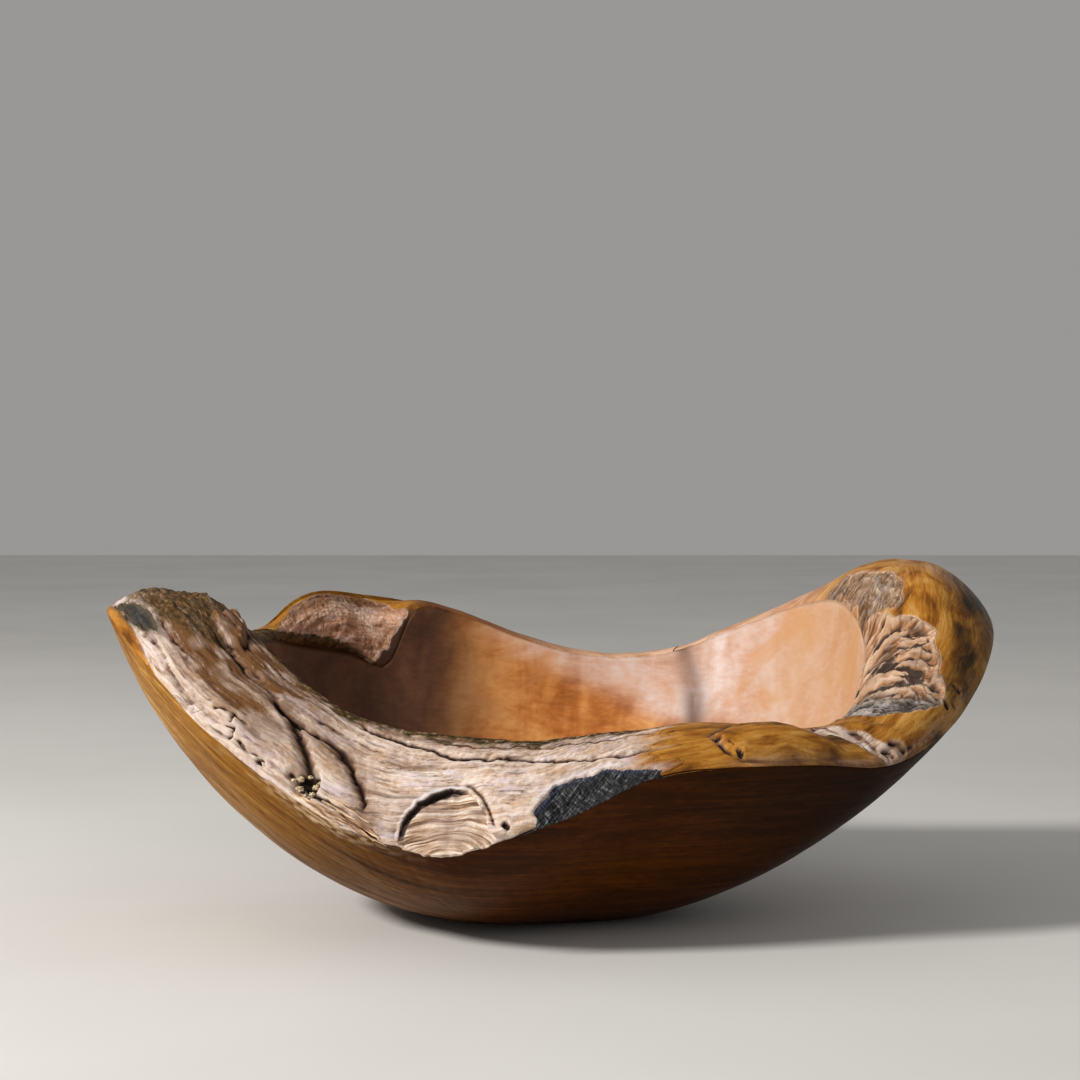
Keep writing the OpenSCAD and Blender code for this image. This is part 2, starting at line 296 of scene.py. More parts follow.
def pit(place, spot, wobble=0.25):
    """1 in the middle of a small round hole, 0 outside it."""
    run, rise = place
    x, y = unroll(spot[0], spot[1])
    d = np.hypot(run - x, rise - y) / spot[2]
    return 1 - step(0.55, 1.15, d + wobble * noise(run / spot[2], rise / spot[2], seed=31))


def crack(place, path, width, depth, lean=1.0, fade=0.15):
    """Depth of a V groove that fades out at its ends; lean makes its left bank wider than its right."""
    run, rise = place
    d, along, side = path_distance(place, path)
    bank = width * np.where(side > 0, lean, 1.0) * (1 + 0.35 * noise(run / 7, rise / 7, seed=12))
    ends = step(0, fade, along) * (1 - step(1 - fade, 1, along))
    return depth * np.clip(1 - d / bank, 0, 1) ** 1.4 * ends


def knot_depth(place):
    """Millimetres inside the half-round fan knot; negative outside."""
    run, rise = place
    return outline_depth(place, FAN_KNOT) + 0.3 * noise(run / 3, rise / 3, seed=9)


def fibre_line(run, rise):
    """Which fibre a point lies on: fibres follow the band and arch over the fan knot."""
    arch = 17 * bell(run - unroll(*KNOT_MIDDLE)[0], 25) * (1 - rise / 85)
    return rise - arch + 3.0 * noise(run / 45, rise / 30, seed=21) + 1.0 * noise(run / 14, rise / 12, seed=22)


def weathered_streaks(run, fibre):
    """Ragged streaks along the fibres, for the ends of the weathered wood."""
    return 0.5 * noise(run / 30, fibre / 2.4, seed=41) + 0.3 * noise(run / 12, fibre / 1.1, seed=42)


def crust_end(t):
    """Angle at which the front crust gives way to oiled wood."""
    return 290.5 + 11 * step(0.62, 0.95, t)


def prow_strip(angle):
    """Width in millimetres of the smooth edge below the crust at the prow's tip."""
    return 5.0 * step(207, 194, angle) * (0.4 + 0.6 * step(181, 190, angle)) - 1.5


# ---------------------------------------------------------------- the zone of each point of the band
def survey(angle, t):
    """Where points lie on the unrolled band, plain and wavered, and how far inside each outline."""
    run, rise = plain = unroll(angle, t)
    slow = (run + 1.6 * noise(run / 8, rise / 8, seed=1), rise + 1.3 * noise(run / 8, rise / 8, seed=2))
    bent = (slow[0] + 0.5 * noise(run / 2.5, rise / 2.5, seed=3),
            slow[1] + 0.5 * noise(run / 2.5, rise / 2.5, seed=4))
    width = width_at(angle)
    facet = outline_depth((run + 0.4 * (bent[0] - run), rise + 0.4 * (bent[1] - rise)), BACK_FACET)
    facet = facet + 1.5 * noise(run / 3.5, rise / 3.5, seed=87) * step(138, 126, angle)
    return SimpleNamespace(
        angle=angle, t=t, width=width, edge=np.minimum(t, 1 - t) * width, run=run, rise=rise, plain=plain,
        slow=slow, bent=bent, fibre=fibre_line(run, rise), facet=facet, knot=knot_depth(plain),
        top=outline_depth(bent, TOP_PATCH), hollow=outline_depth(bent, HOLLOW),
        black=outline_depth(bent, BLACK_HEART), tip=outline_depth(bent, TIP_BLACK),
        lens=outline_depth(plain, LENS))


def weather(zone):
    """How weathered: 1 on the front crust and the patches, 0 on oiled wood."""
    past_end = zone.angle - crust_end(zone.t) - 7 * weathered_streaks(zone.run, zone.fibre)
    front = step(166.5, 169.5, zone.angle) * (1 - step(-2.5, 4.5, past_end))
    zone.front = front * step(-0.6, 0.6, zone.t * zone.width - prow_strip(zone.angle))
    zone.weathered = np.maximum.reduce([zone.front, step(-1, 1, zone.facet), step(-2, 2, zone.top),
                                        step(-0.8, 0.8, zone.hollow)])


def roughen(zone):
    """Rough fibre relief on the weathered wood, soft waves on the oiled wood."""
    run, rise, fibre, bent = zone.run, zone.rise, zone.fibre, zone.bent
    ridge = 1 - np.abs(noise(run / 42, fibre / 5.5, seed=51))
    prow = step(232, 212, zone.angle)
    turn_x, turn_y = 0.85 * run + 0.5 * rise, 0.85 * rise - 0.5 * run
    calm = 1 - 0.6 * step(-1, 1, zone.facet)
    rough = ((0.55 + 0.25 * prow) * (ridge ** 2 - 0.45) + 0.28 * noise(run / 13, fibre / 2.3, seed=52)
             + 0.20 * noise(bent[0] / 5, fibre / 0.9, seed=53)
             + 0.20 * fbm(turn_x / 2.3, turn_y / 1.7, seed=54)
             + 0.50 * fbm(turn_x / 12, turn_y / 7, seed=57) + 0.9 * noise(run / 22, rise / 11, seed=63)
             + 0.85 * prow * fbm((run + 0.9 * rise) / 26, (0.8 * bent[1] + 0.2 * rise - 0.1 * run) / 3.4,
                                 seed=58))
    zone.height = (zone.weathered * calm * 0.85 * rough + 0.8 * fbm(run / 42, rise / 20, seed=55, octaves=2)
                   + (1 - zone.weathered) * 0.14 * noise(run / 16, fibre / 1.6, seed=56))
    # painted shade in the furrows between the weathered fibres
    zone.cavity = zone.weathered * 0.5 * step(0.35, 0.9, -noise(run / 15, fibre / 1.9, seed=52))


def raise_skin(zone, amount):
    zone.height = zone.height + amount


# painted shade: darkens the colour in cracks, pits, holes and hollows
def shade(zone, amount):
    zone.cavity = np.maximum(zone.cavity, amount)


def cut(zone, deep, low, high):
    """Lower the skin by deep, and shade it where deep passes from low to high."""
    raise_skin(zone, -deep)
    shade(zone, step(low, high, deep))


def fold_prow(zone):
    """The long grooves, folds and flakes of the prow and the crust."""
    shallow = 0.62 + 0.38 * step(205, 224, zone.angle)
    for path, bank, depth, lean in ((GROOVE_LONG, 3.0, 3.8, 1.7), (GROOVE_HOLE, 3.2, 4.4, 1.7),
                                    (GROOVE_LIP, 1.7, 2.2, 1.4), (GROOVE_LIP_2, 1.1, 1.0, 1.0)):
        cut(zone, crack(zone.bent, path, bank, depth, lean, 0.08) * shallow, 0.12 * depth, 0.95 * depth)
    for path in FOLDS:
        d, along, side = path_distance(zone.slow, path)
        fold = np.clip(1 - along, 0.2, 1) * np.sin(np.pi * np.clip(along * 0.96 + 0.02, 0, 1)) ** 0.5
        raise_skin(zone, fold * np.where(side > 0, 1.3 * bell(d - 3.5, 5), -1.0 * bell(d - 0.5, 2.6)))
        shade(zone, 0.42 * fold * bell(d - 0.4, 1.2))
    for path in FLAKES:
        cut(zone, crack(zone.bent, path, 0.95, 2.2, 1.0, 0.2), 0.2, 1.2)
        raise_skin(zone, 0.35 * bell(path_distance(zone.bent, path)[0] - 2.0, 1.6))
    cut(zone, crack(zone.bent, SLIVER_SPLIT, 1.3, 2.6, 1.6, 0.1), 0.3, 1.6)


def open_holes(zone):
    """The knot hole, and the pits with a low swelling round each."""
    zone.hole = pit(zone.plain, KNOT_HOLE + (6.3,), 0.45)
    cut(zone, 6.5 * zone.hole, 1.625, 5.2)
    for angle, t, size in PITS + LENS_HOLES + GOUGE_HOLES + LOBE_KNOTS:
        raise_skin(zone, 0.25 * size * pit(zone.plain, (angle, t, 2.1 * size)))
        small = pit(zone.bent, (angle, t, size), 0.5) * step(-2, 5, zone.rise)
        cut(zone, 1.3 * size * small, 0.26 * size, 1.04 * size)


def lift_lips(zone):
    """The lip over the fan knot with the crease at its right, and the low rim of the black patch, both edged
    with a painted highlight.
    """
    knot, black, t = zone.knot, zone.black, zone.t
    arch = step(9, 2, zone.run - unroll(*KNOT_MIDDLE)[0]) * step(-2, 5, zone.rise)
    raise_skin(zone, 0.7 * bell(knot + 0.7, 0.7) * arch + 0.9 * bell(knot + 3.5, 4) * step(0.1, 0.4, t)
               + 1.5 * bell(knot + 10, 9) + 0.2 * bell(black + 1.2, 1.6))
    shade(zone, step(-0.5, 0.2, knot) * step(2.6, 1.6, knot) * arch)
    cut(zone, crack(zone.plain, KNOT_CREASE, 1.2, 1.5, 1.3, 0.25), 0.3, 1.6)
    # painted highlight along the black patch's upper rim and on the fan knot's lip
    rim_highlight = 0.65 * bell(black + 1.0, 1.2) * step(0.12, 0.24, t) * step(289, 284, zone.angle)
    zone.silver = np.maximum(bell(knot + 1.0, 0.6) * arch * step(0.10, 0.30, t), rim_highlight)


def tear_right_rim(zone):
    """The swelling, the torn gouge and the ridge on the oiled right front rim."""
    sharp = 1 - step(309, 317, zone.angle)
    raise_skin(zone, 1.6 * step(-0.8, 2.5, zone.lens) + 2.2 * step(0, 11, zone.lens)
               - sharp * bell(zone.lens + 0.6, 1.1))
    shade(zone, 0.45 * bell(zone.lens + 0.5, 0.7) * sharp)
    d, along, _ = path_distance(zone.bent, GOUGE)
    ragged = d + 1.8 * noise(zone.run / 3, zone.rise / 3, seed=61)
    zone.torn = (1 - step(5.0, 6.6, ragged)) * step(0, 0.12, along)
    raise_skin(zone, -zone.torn * (1.3 + 1.2 * noise(zone.bent[0] / 1.9, zone.rise / 8, seed=62)))
    zone.weathered = np.maximum(zone.weathered, zone.torn)
    d, along, _ = path_distance(zone.plain, GOUGE_RIDGE)
    raise_skin(zone, 2.0 * bell(d, 4.0) * np.sin(np.pi * np.clip(along, 0, 1)))


def hollow_burl(zone):
    """The crack on top of the burl end, and its torn hollow: a sunk bed with fibre layers along t."""
    cut(zone, crack(zone.bent, TOP_CRACK, 1.0, 1.8), 0.3, 1.2)
    sunk = step(0, 5, zone.hollow)
    waver = 0.8 * noise(zone.rise / 12, zone.run / 9, seed=71)
    layers = 1.3 * noise(zone.rise / 22, zone.run / 3.8 + waver, seed=72)
    raise_skin(zone, sunk * (-3.2 + 1.5 * layers))
    shade(zone, sunk * step(0.2, 0.9, -layers))


def grow_moss(zone):
    """Dark growth on the prow, in the notch and along the crust's inner edge, but for one pale lump."""
    from_inner = (1 - zone.t) * zone.width + 2.4 * noise(zone.run / 6, zone.rise / 3, seed=81)
    moss = np.maximum.reduce([
        0.8 * step(-3, 3, outline_depth(zone.bent, PROW_MOSS)),
        step(-1.5, 1.5, outline_depth(zone.bent, NOTCH_MOSS)), 0.8 * step(-4, 0.5, zone.tip),
        step(7.5, 4.0, from_inner) * step(300, 292, zone.angle) * step(183, 190, zone.angle)])
    lump = outline_depth(zone.bent, PALE_LUMP)
    zone.moss = moss * (1 - step(-2, 2, lump))
    raise_skin(zone, 4.6 * step(-1.0, 2.5, lump)
               + 0.5 * step(-1, 1, lump) * noise(zone.run / 3, zone.rise / 3, seed=83))


def stain(zone):
    """Masks of the dark, pale and tan places of the band, mostly on its oiled wood; the dark includes painted
    shade on the burl lobe's outer side, and the pale includes painted highlight on two edges.
    """
    run, rise, angle, t, width = zone.run, zone.rise, zone.angle, zone.t, zone.width
    reach = 0.22 + 0.14 * step(338, 360, angle)
    side = step(reach, 0.25 * reach, t + 0.06 * noise(run / 12, rise / 9, seed=84))
    near_groove = np.minimum(path_distance(zone.bent, GROOVE_LONG)[0],
                             path_distance(zone.bent, GROOVE_HOLE)[0])
    patchy = noise(run / 9, zone.fibre / 4, seed=85)
    brown = zone.front * np.maximum.reduce([
        0.75 * bell(near_groove, 6.5), step(230, 208, angle) * step(0.08, 0.30, t) * (1.0 + 0.4 * patchy),
        step(15, 4, (1 - t) * width) * step(292, 270, angle) * (0.55 + 0.5 * patchy)])
    crest = step(5.5, 2.5, (1 - t) * width + 1.5 * patchy) * step(285, 292, angle) * step(320, 306, angle)
    zone.dark = np.maximum.reduce([
        np.clip(brown, 0, 1), 0.8 * crest,
        # painted shade: the outer side of the burl lobe is darkened, on top of its dark wood
        (0.92 + 0.3 * patchy) * side * step(330, 341, angle) * step(396, 380, angle),
        0.8 * bell(angle - 325, 4.5) * step(0.1, 0.4, t) * step(1.0, 0.7, t) * (1 - zone.torn),
        0.2 * bell(angle - 296, 4.5) * step(0.75, 0.45, t),
        0.8 * step(0.42, 0.08, t) * step(-1, 1, zone.facet),
        0.7 * bell(t * width, 5) * step(300, 320, angle) * step(345, 338, angle)])
    # pale marks: a worn blotch, and painted highlight along the right front rim's outer edge and the lens's
    # upper edge
    zone.pale = np.maximum.reduce([
        0.6 * bell(t * width - 1.4, 1.3) * step(300, 310, angle) * step(352, 338, angle),
        0.8 * bell(zone.lens + 0.9, 0.9) * step(312, 307, angle) * step(0.15, 0.3, t),
        bell(path_distance(zone.bent, WORN_BLOTCH)[0], 3.2)])
    turn = np.mod(angle, 360)
    inner = step(117, 123, turn) * step(170, 160, turn) * step(0.62, 0.84, t)
    outer = step(124, 116, turn) * step(0.04, 0.4, t + 0.15 * noise(run / 14, 0.3, seed=86))
    zone.tan = step(22, 34, turn) * np.maximum(outer, inner)


def relief(angle, t):
    """The zone of each point: the finished skin's height over the plain band, and the masks."""
    zone = survey(angle, t)
    for feature in (weather, roughen, fold_prow, open_holes, lift_lips, tear_right_rim, hollow_burl,
                    grow_moss, stain):
        feature(zone)
    ledges = 0.3 * step(0, 2, zone.facet) + 0.5 * step(0, 2, zone.top) + 0.8 * step(0, 1.5, zone.tip)
    low_lip = 0.7 * zone.front * bell(t * zone.width - 0.5, 2.0) * step(200, 214, angle)
    zone.height = (zone.height - ledges) * step(-0.3, 2.6, zone.edge) + low_lip
    return zone


# ---------------------------------------------------------------- meshes
SMOOTH_ALL = 10 ** 9    # more faces than any piece has


def make_mesh(name, points, faces, flat_from, masks):
    """One object from points in millimetres and lists of faces; faces from flat_from on are shaded flat."""
    mesh = bpy.data.meshes.new(name)
    sizes = np.concatenate([np.full(len(f), f.shape[1]) for f in faces if len(f)])
    corners = np.concatenate([f.ravel() for f in faces if len(f)])
    mesh.vertices.add(len(points))
    mesh.vertices.foreach_set("co", (points * MM).astype(np.float32).ravel())
    mesh.loops.add(len(corners))
    mesh.loops.foreach_set("vertex_index", corners.astype(np.int32))
    mesh.polygons.add(len(sizes))
    mesh.polygons.foreach_set("loop_start", np.concatenate([[0], np.cumsum(sizes)[:-1]]).astype(np.int32))
    mesh.polygons.foreach_set("use_smooth", np.arange(len(sizes)) < flat_from)
    for key, values in masks.items():
        values = values.astype(np.float32)
        kind = "FLOAT_VECTOR" if values.ndim == 2 else "FLOAT"
        layer = mesh.attributes.new(key, kind, "POINT")
        layer.data.foreach_set("vector" if values.ndim == 2 else "value", values.ravel())
    mesh.update()
    mesh.validate()
    piece = bpy.data.objects.new(name, mesh)
    bpy.context.scene.collection.objects.link(piece)
    return piece


STRIDE = 8    # fine points of a layer's top to one point of its underside


def run_of(first, count, step_size):
    return first + np.arange(count) * step_size


def solid(name, top, bottom, stride, masks, wrap=False, cap_first=False, cap_last=False):
    """Closed solid: a fine top grid, a bottom grid every stride points, and skirts or end caps between."""
    n, m = top.shape[:2]
    top_id = np.arange(n * m).reshape(n, m)
    low_id = n * m + np.arange(bottom.shape[0] * bottom.shape[1]).reshape(bottom.shape[:2])
    if wrap:
        top_id, low_id = np.vstack([top_id, top_id[:1]]), np.vstack([low_id, low_id[:1]])

    def quads(ids):
        return np.stack([ids[:-1, :-1], ids[1:, :-1], ids[1:, 1:], ids[:-1, 1:]], -1).reshape(-1, 4)

    def skirt(fine, coarse, turned):
        strips = np.stack([fine[k:len(fine) - stride + k:stride] for k in range(stride, -1, -1)], -1)
        strips = np.hstack([coarse[:-1, None], coarse[1:, None], strips])
        return strips[:, ::-1] if turned else strips

    smooth = [quads(top_id), quads(low_id)[:, ::-1]]
    flat = []
    for first, capped in ((True, cap_first), (False, cap_last)):
        fine, coarse = (top_id[:, 0], low_id[:, 0]) if first else (top_id[:, -1], low_id[:, -1])
        if capped:
            for ring, turned in ((fine[:-1], first), (coarse[:-1], not first)):
                flat.append((ring[::-1] if turned else ring)[None, :])
        else:
            flat.append(skirt(fine, coarse, not first))
    if not wrap:
        flat.append(skirt(top_id[0], low_id[0], True))
        flat.append(skirt(top_id[-1], low_id[-1], False))
    points = np.concatenate([top.reshape(-1, 3), bottom.reshape(-1, 3)])
    both = {}
    for key, values in masks.items():
        low = values[::stride, ::stride]
        both[key] = np.concatenate([values.reshape((n * m,) + values.shape[2:]),
                                    low.reshape((-1,) + values.shape[2:])])
    return make_mesh(name, points, smooth + flat, sum(len(f) for f in smooth), both)


def blur(values, cells):
    """Mean over a square of cells each way."""
    for axis in (0, 1):
        pad = [(0, 0), (0, 0)]
        pad[axis] = (cells + 1, cells)
        total = np.cumsum(np.pad(values, pad, mode="edge"), axis=axis)
        size = values.shape[axis]
        ahead = np.take(total, np.arange(size) + 2 * cells + 1, axis=axis)
        values = (ahead - np.take(total, np.arange(size), axis=axis)) / (2 * cells + 1)
    return values


def sunk_where(inside):
    """How far a bed has dropped, 0 to 1, at this many millimetres inside its outline."""
    return step(0.0, 1.5, inside)


def proud_where(inside):
    """How far a patch has dropped out of sight, 0 to 1, outside its outline."""
    return step(0.3, -1.2, inside)


def bed_depth(edge, deepest):
    return np.minimum(deepest, 0.5 + 0.45 * np.maximum(edge, 0))


def crust_inside(zone):
    """Millimetres inside the front crust's two ends and above the smooth strip under its tip."""
    streaks = weathered_streaks(zone.run, zone.fibre)
    right = (crust_end(zone.t) + 7 * streaks + 4.5 - zone.angle) * 2.3
    strip = zone.t * zone.width - prow_strip(zone.angle)
    return np.minimum.reduce([right, (zone.angle - 168) * 3.4, strip])


def masks_of(zone, height, **more):
    """Masks for the finishes; hollows of the skin get painted shade, and its ridges are painted pale as wear
    and as painted highlight.
    """
    hollow = blur(height, 5) - height
    masks = {"flow": np.stack([zone.run, zone.fibre, zone.rise], -1) * MM, "weathered": zone.weathered,
             "silver": zone.silver, "moss": zone.moss, "dark": zone.dark, "pale": zone.pale,
             # hollows of the skin get painted shade
             "tan": zone.tan, "cavity": np.clip(np.maximum(zone.cavity, hollow / 0.9), 0, 1),
             # ridges painted pale: wear and painted highlight
             "wear_and_highlight": np.clip(-hollow / 0.7, 0, 1)}
    masks.update(more)
    return masks


def band_layer(name, angle, t, seen, low, masks, wrap=False):
    """A closed layer of the band between two heights over the plain band."""
    coarse = (slice(None, None, STRIDE), slice(None, None, STRIDE))
    top = band_point(angle, t, seen)
    return solid(name, top, band_point(angle[coarse], t[coarse], low[coarse]), STRIDE, masks, wrap=wrap)


def band_patch(name, angles, ts, shape, deepest):
    """A grown-in patch of the band: shape(zone) gives its height, how far inside it is, and masks."""
    angle, t = np.meshgrid(angles, ts, indexing="ij")
    zone = relief(angle, t)
    height, inside, more = shape(zone)
    limit = bed_depth(zone.edge, deepest)
    seen = height - (limit + 0.6) * proud_where(inside)
    low = np.minimum(seen - 0.4, 0.3 - limit)
    return band_layer(name, angle, t, seen, low, masks_of(zone, height, **more))


# ---------------------------------------------------------------- pieces of the body
def make_hull():
    angle, t = np.meshgrid(run_of(0, 720, 0.5), np.linspace(0, 1, 73), indexing="ij")
    plain = hull_point(angle, t)
    x, y, z = plain[..., 0], plain[..., 1], plain[..., 2]
    height = 0.35 * fbm(x / 55, y / 55, z / 30, seed=90, octaves=2)
    height = height + 0.08 * noise(x / 14, y / 14, z / 3, seed=91)
    height = height * step(0, 0.08, t) * step(1.0, 0.95, t)
    west = x + 70
    along = np.stack([x, z + 0.10 * np.hypot(y, 25) + 0.4 * (west - np.hypot(west, 50)), y], -1) * MM
    waver = 22 * noise(x / 60, y / 60, z / 14, seed=97)
    # painted light on the hull's left, painted shade on its right
    masks = {"flow": along, "left": step(-30, -175, x + waver + 0.2 * (z - 80)),
             "right": step(20, 150, x + waver) * step(60, -90, y)}
    strands = noise(angle * 0.9 + 40 * t, t * 90, seed=99)
    masks["frayed"] = step(0.90, 0.975, t + 0.03 * strands) * bell(angle - 228, 11) * step(-0.5, 0.5, strands)
    height = height + 0.5 * masks["frayed"]
    top = hull_point(angle, t, height)
    low = hull_point(angle[::6, ::6], t[::6, ::6], -2.6)
    return solid("hull", top, low, 6, masks, wrap=True, cap_first=True)


def make_inside():
    angle, t = np.meshgrid(run_of(0, 720, 0.5), np.linspace(0, 0.985, 73), indexing="ij")
    plain = inside_point(angle, t)
    x, y, z = plain[..., 0], plain[..., 1], plain[..., 2]
    height = 0.5 * fbm(x / 48, y / 48, z / 48, seed=95, octaves=2) * step(0, 0.06, t) * (1 - t)
    along = np.stack([x, y, z], -1) * MM
    top = inside_point(angle, t, height)
    low = inside_point(angle[::6, ::6], t[::6, ::6], -0.5 - 2.0 * step(0, 0.08, t[::6, ::6]))
    low = low - np.array([0, 0, 1.0])
    waver = 12 * noise(x / 40, y / 40, z / 30, seed=98)
    # the right upper wall is painted pale: a paler tone, and painted light where the wall faces the lamp
    masks = {"flow": along, "pale": step(-15, 75, x + waver + 1.3 * (z - 92)) * step(60, 96, z + 0.7 * waver),
             # the left wall is painted dark: darker wood, and painted shade
             "dark": step(14, -84, x + waver), "amber": step(100, 150, x + waver),
             "stain": bell(np.mod(angle, 360) - 58 + 27 * t + 0.1 * waver, 1.8 + 5 * t) * step(0.42, 0.26, t)}
    return solid("carved_inside", top, low, 6, masks, wrap=True, cap_last=True)


def make_rim():
    """The oiled band all round, sunk under the grown-in zones."""
    angles = np.concatenate([np.arange(START, 168, 0.36), np.arange(168, 288, 1.2), np.arange(288, 345, 0.19),
                             np.arange(345, 392, 0.235), np.linspace(392, END, 60, endpoint=False)])
    angle, t = np.meshgrid(angles, np.linspace(0, 1, 97), indexing="ij")
    zone = relief(angle, t)
    crust = crust_inside(zone)
    sunk = np.zeros_like(angle)
    for inside, deepest in ((crust, 11), (zone.facet, 4), (zone.top, 4), (zone.hollow, 6)):
        sunk = np.maximum(sunk, sunk_where(inside) * bed_depth(zone.edge, deepest))
    sunk = sunk + 2.4 * sunk_where(crust) + 5 * zone.hole * step(1.5, 6, zone.edge)
    height = zone.height - sunk
    low = np.minimum(height - 0.4, -bed_depth(zone.edge, 14))
    return band_layer("rim_band", angle, t, height, low, masks_of(zone, zone.height), wrap=True)


# ---------------------------------------------------------------- grown-in zones
def jagged(angle, most, seed):
    """A broken edge: millimetres that it stands out, never negative."""
    run = np.interp(angle, ROUND, RUN)
    broken = 0.5 * noise(run / 5, 0.1, seed=seed) + 0.35 * noise(run / 1.7, 0.4, seed=seed + 1)
    return most * np.clip(0.45 + broken, 0, 1)


def make_crust():
    angle, t = np.meshgrid(run_of(165.5, 745, 0.19), np.linspace(0, 1, 129), indexing="ij")
    most = (0.3 + 0.9 * step(206, 216, angle)) * (1 - step(264, 267, angle) * step(294, 291, angle))
    t = t - (1 - t) ** 24 * jagged(angle, most, 101) / width_at(angle)
    zone = relief(angle, t)
    height = zone.height - 4.6 * step(0.0, 1.0, zone.knot) * step(-0.02, 0.12, t)
    height = height - 2.5 * sunk_where(zone.black)
    height = height - 2.2 * sunk_where(zone.tip) * step(-0.02, 0.06, t)
    limit = bed_depth(zone.edge, 10)
    seen = height - (limit + 0.3) * proud_where(crust_inside(zone))
    low = np.minimum(seen - 0.4, 0.3 - limit)
    return band_layer("sapwood_crust", angle, t, seen, low, masks_of(zone, zone.height))


def make_fan_knot():
    angle, t = np.meshgrid(run_of(240.6, 249, 0.1), np.linspace(0, 1, 177), indexing="ij")
    reach = knot_depth(unroll(angle, np.full_like(angle, 0.01)))
    low_edge = -(0.3 + jagged(angle, 1.3, 121)) * step(0, 4, reach) / width_at(angle)
    t = low_edge + t * (0.56 - low_edge)
    zone = relief(angle, t)
    run, rise, knot = zone.run - unroll(*KNOT_MIDDLE)[0], zone.rise, zone.knot
    ring = np.hypot(run / 1.25, rise + 9) + 0.9 * noise(run / 9, rise / 7, seed=111)
    fine = 0.32 * noise(ring / 0.75, run / 14, seed=111) + 0.16 * noise(ring / 0.4, run / 7, seed=112)
    rings = 0.6 * noise(ring / 2.2, run / 16, seed=113)
    floor = -0.9 + 1.1 * step(26, -2, rise) + 1.1 * bell(run / 15, 1.0) * step(28, 6, rise)
    height = floor + fine + rings + 0.10 * fbm(run / 1.2, rise / 1.2, seed=114)
    gap = step(3.0, 1.2, knot) * step(-2, 6, rise) * step(7, -4, run)
    height = height - 1.3 * gap
    seen = height - 4.0 * proud_where(knot + 0.2)
    low = np.minimum(seen - 0.8, -0.15 - bed_depth(t * zone.width, 5))
    # the gap inside the arch is painted dark as shade
    masks = masks_of(zone, height, flow=np.stack([run, ring, rise], -1) * MM, shade=gap,
                     cavity=0.8 * gap ** 1.5)
    return band_layer("fan_knot_face", angle, t, seen, low, masks)


def make_black_heart():
    def shape(zone):
        run, rise = zone.run, zone.rise
        a, b = run + 0.55 * rise, run - 1.3 * rise
        hatch = (0.24 * noise(a / 0.7, b / 6, seed=131) + 0.24 * noise(a / 7, b / 0.8, seed=132)
                 + 0.20 * fbm(a / 2.2, b / 2.2, seed=133))
        sunk = 1.15 * step(0, 5, zone.t * zone.width) - 0.15
        margin = step(3.5, 0.3, zone.black) * step(0.06, 0.12, zone.t)
        return (zone.height - sunk + hatch, zone.black,
                {"flow": np.stack([a, b, rise], -1) * MM, "rim": margin})

    return band_patch("black_heartwood", run_of(266.2, 281, 0.1), np.linspace(-0.022, 0.43, 105), shape, 4)


def make_tip_black():
    def shape(zone):
        run, rise = zone.run, zone.rise
        cells = (0.35 * noise(run / 2.6, rise / 1.6, seed=141)
                 + 0.2 * fbm(run / 1.2, rise / 1.2, seed=142))
        inside = np.minimum(zone.tip, crust_inside(zone) - 1.0)
        return zone.height + 0.1 + cells, inside, {"rim": step(3.5, 0.0, inside + 1.2 * cells)}

    return band_patch("tip_black_wood", run_of(183.4, 145, 0.11), np.linspace(0.03, 0.27, 81), shape, 3)


def make_flaky_patch(name, angles, ts, outline, coarse, fine, drop, deepest):
    """A patch whose roughness is two noises, each as (height, size along, size across, seed)."""

    def shape(zone):
        rough = sum(most * fbm(zone.run / along, zone.rise / across, seed=seed)
                    for most, along, across, seed in (coarse, fine))
        return zone.height + rough - drop, getattr(zone, outline), {}

    return band_patch(name, angles, ts, shape, deepest)


def make_back_facet():
    return make_flaky_patch("back_left_facet", run_of(118, 321, 0.121), np.linspace(0.04, 1.0, 105),
                            "facet", (0.35, 4, 4, 151), (0.12, 1.2, 1.2, 152), 0.2, 3.5)


def make_notch_bark():
    def shape(zone):
        run, rise = zone.run, zone.rise
        inside = outline_depth(zone.plain, NOTCH_MOSS) + 0.8 * noise(run / 3, rise / 3, seed=162)
        lumps = 0.35 + 0.45 * np.abs(fbm(run / 2.4, rise / 2.0, seed=161))
        return zone.height + lumps, inside, {}

    return band_patch("notch_bark", run_of(128.5, 417, 0.125), np.linspace(0.40, 1.0, 65), shape, 2.5)


def make_hollow_bark():
    def shape(zone):
        run, rise = zone.run, zone.rise
        bent = run - 0.22 * rise + 3.0 * noise(rise / 10, run / 9, seed=170)
        bent = bent + 1.1 * noise(rise / 4, run / 5, seed=175)
        layers = (1.3 * noise(rise / 14, bent / 3.0, seed=171) + 0.9 * noise(rise / 7, bent / 1.2, seed=172)
                  + 0.5 * fbm(rise / 3, bent / 1.3, seed=173))
        sunk = step(0, 5, zone.hollow)
        # painted shade in the gaps between the torn layers
        cavity = np.maximum(zone.cavity, sunk * step(0.2, 1.3, -layers))
        waver = 0.6 * noise(rise / 9, run / 2, seed=174)
        grey = step(342.0, 339.0, zone.angle - 6 * np.abs(zone.t - 0.45) + waver)
        return (zone.height + 0.9 * sunk * layers, zone.hollow,
                {"flow": np.stack([rise, run, rise], -1) * MM, "cavity": cavity, "grey": grey})

    return band_patch("hollow_bark", run_of(330, 337, 0.125), np.linspace(0.04, 1.0, 129), shape, 5)


def make_top_patch():
    return make_flaky_patch("burl_top_sapwood", run_of(354.5, 249, 0.13), np.linspace(0.52, 1.0, 73),
                            "top", (0.4, 5, 3, 181), (0.2, 1.5, 1.2, 182), 0.0, 3.5)


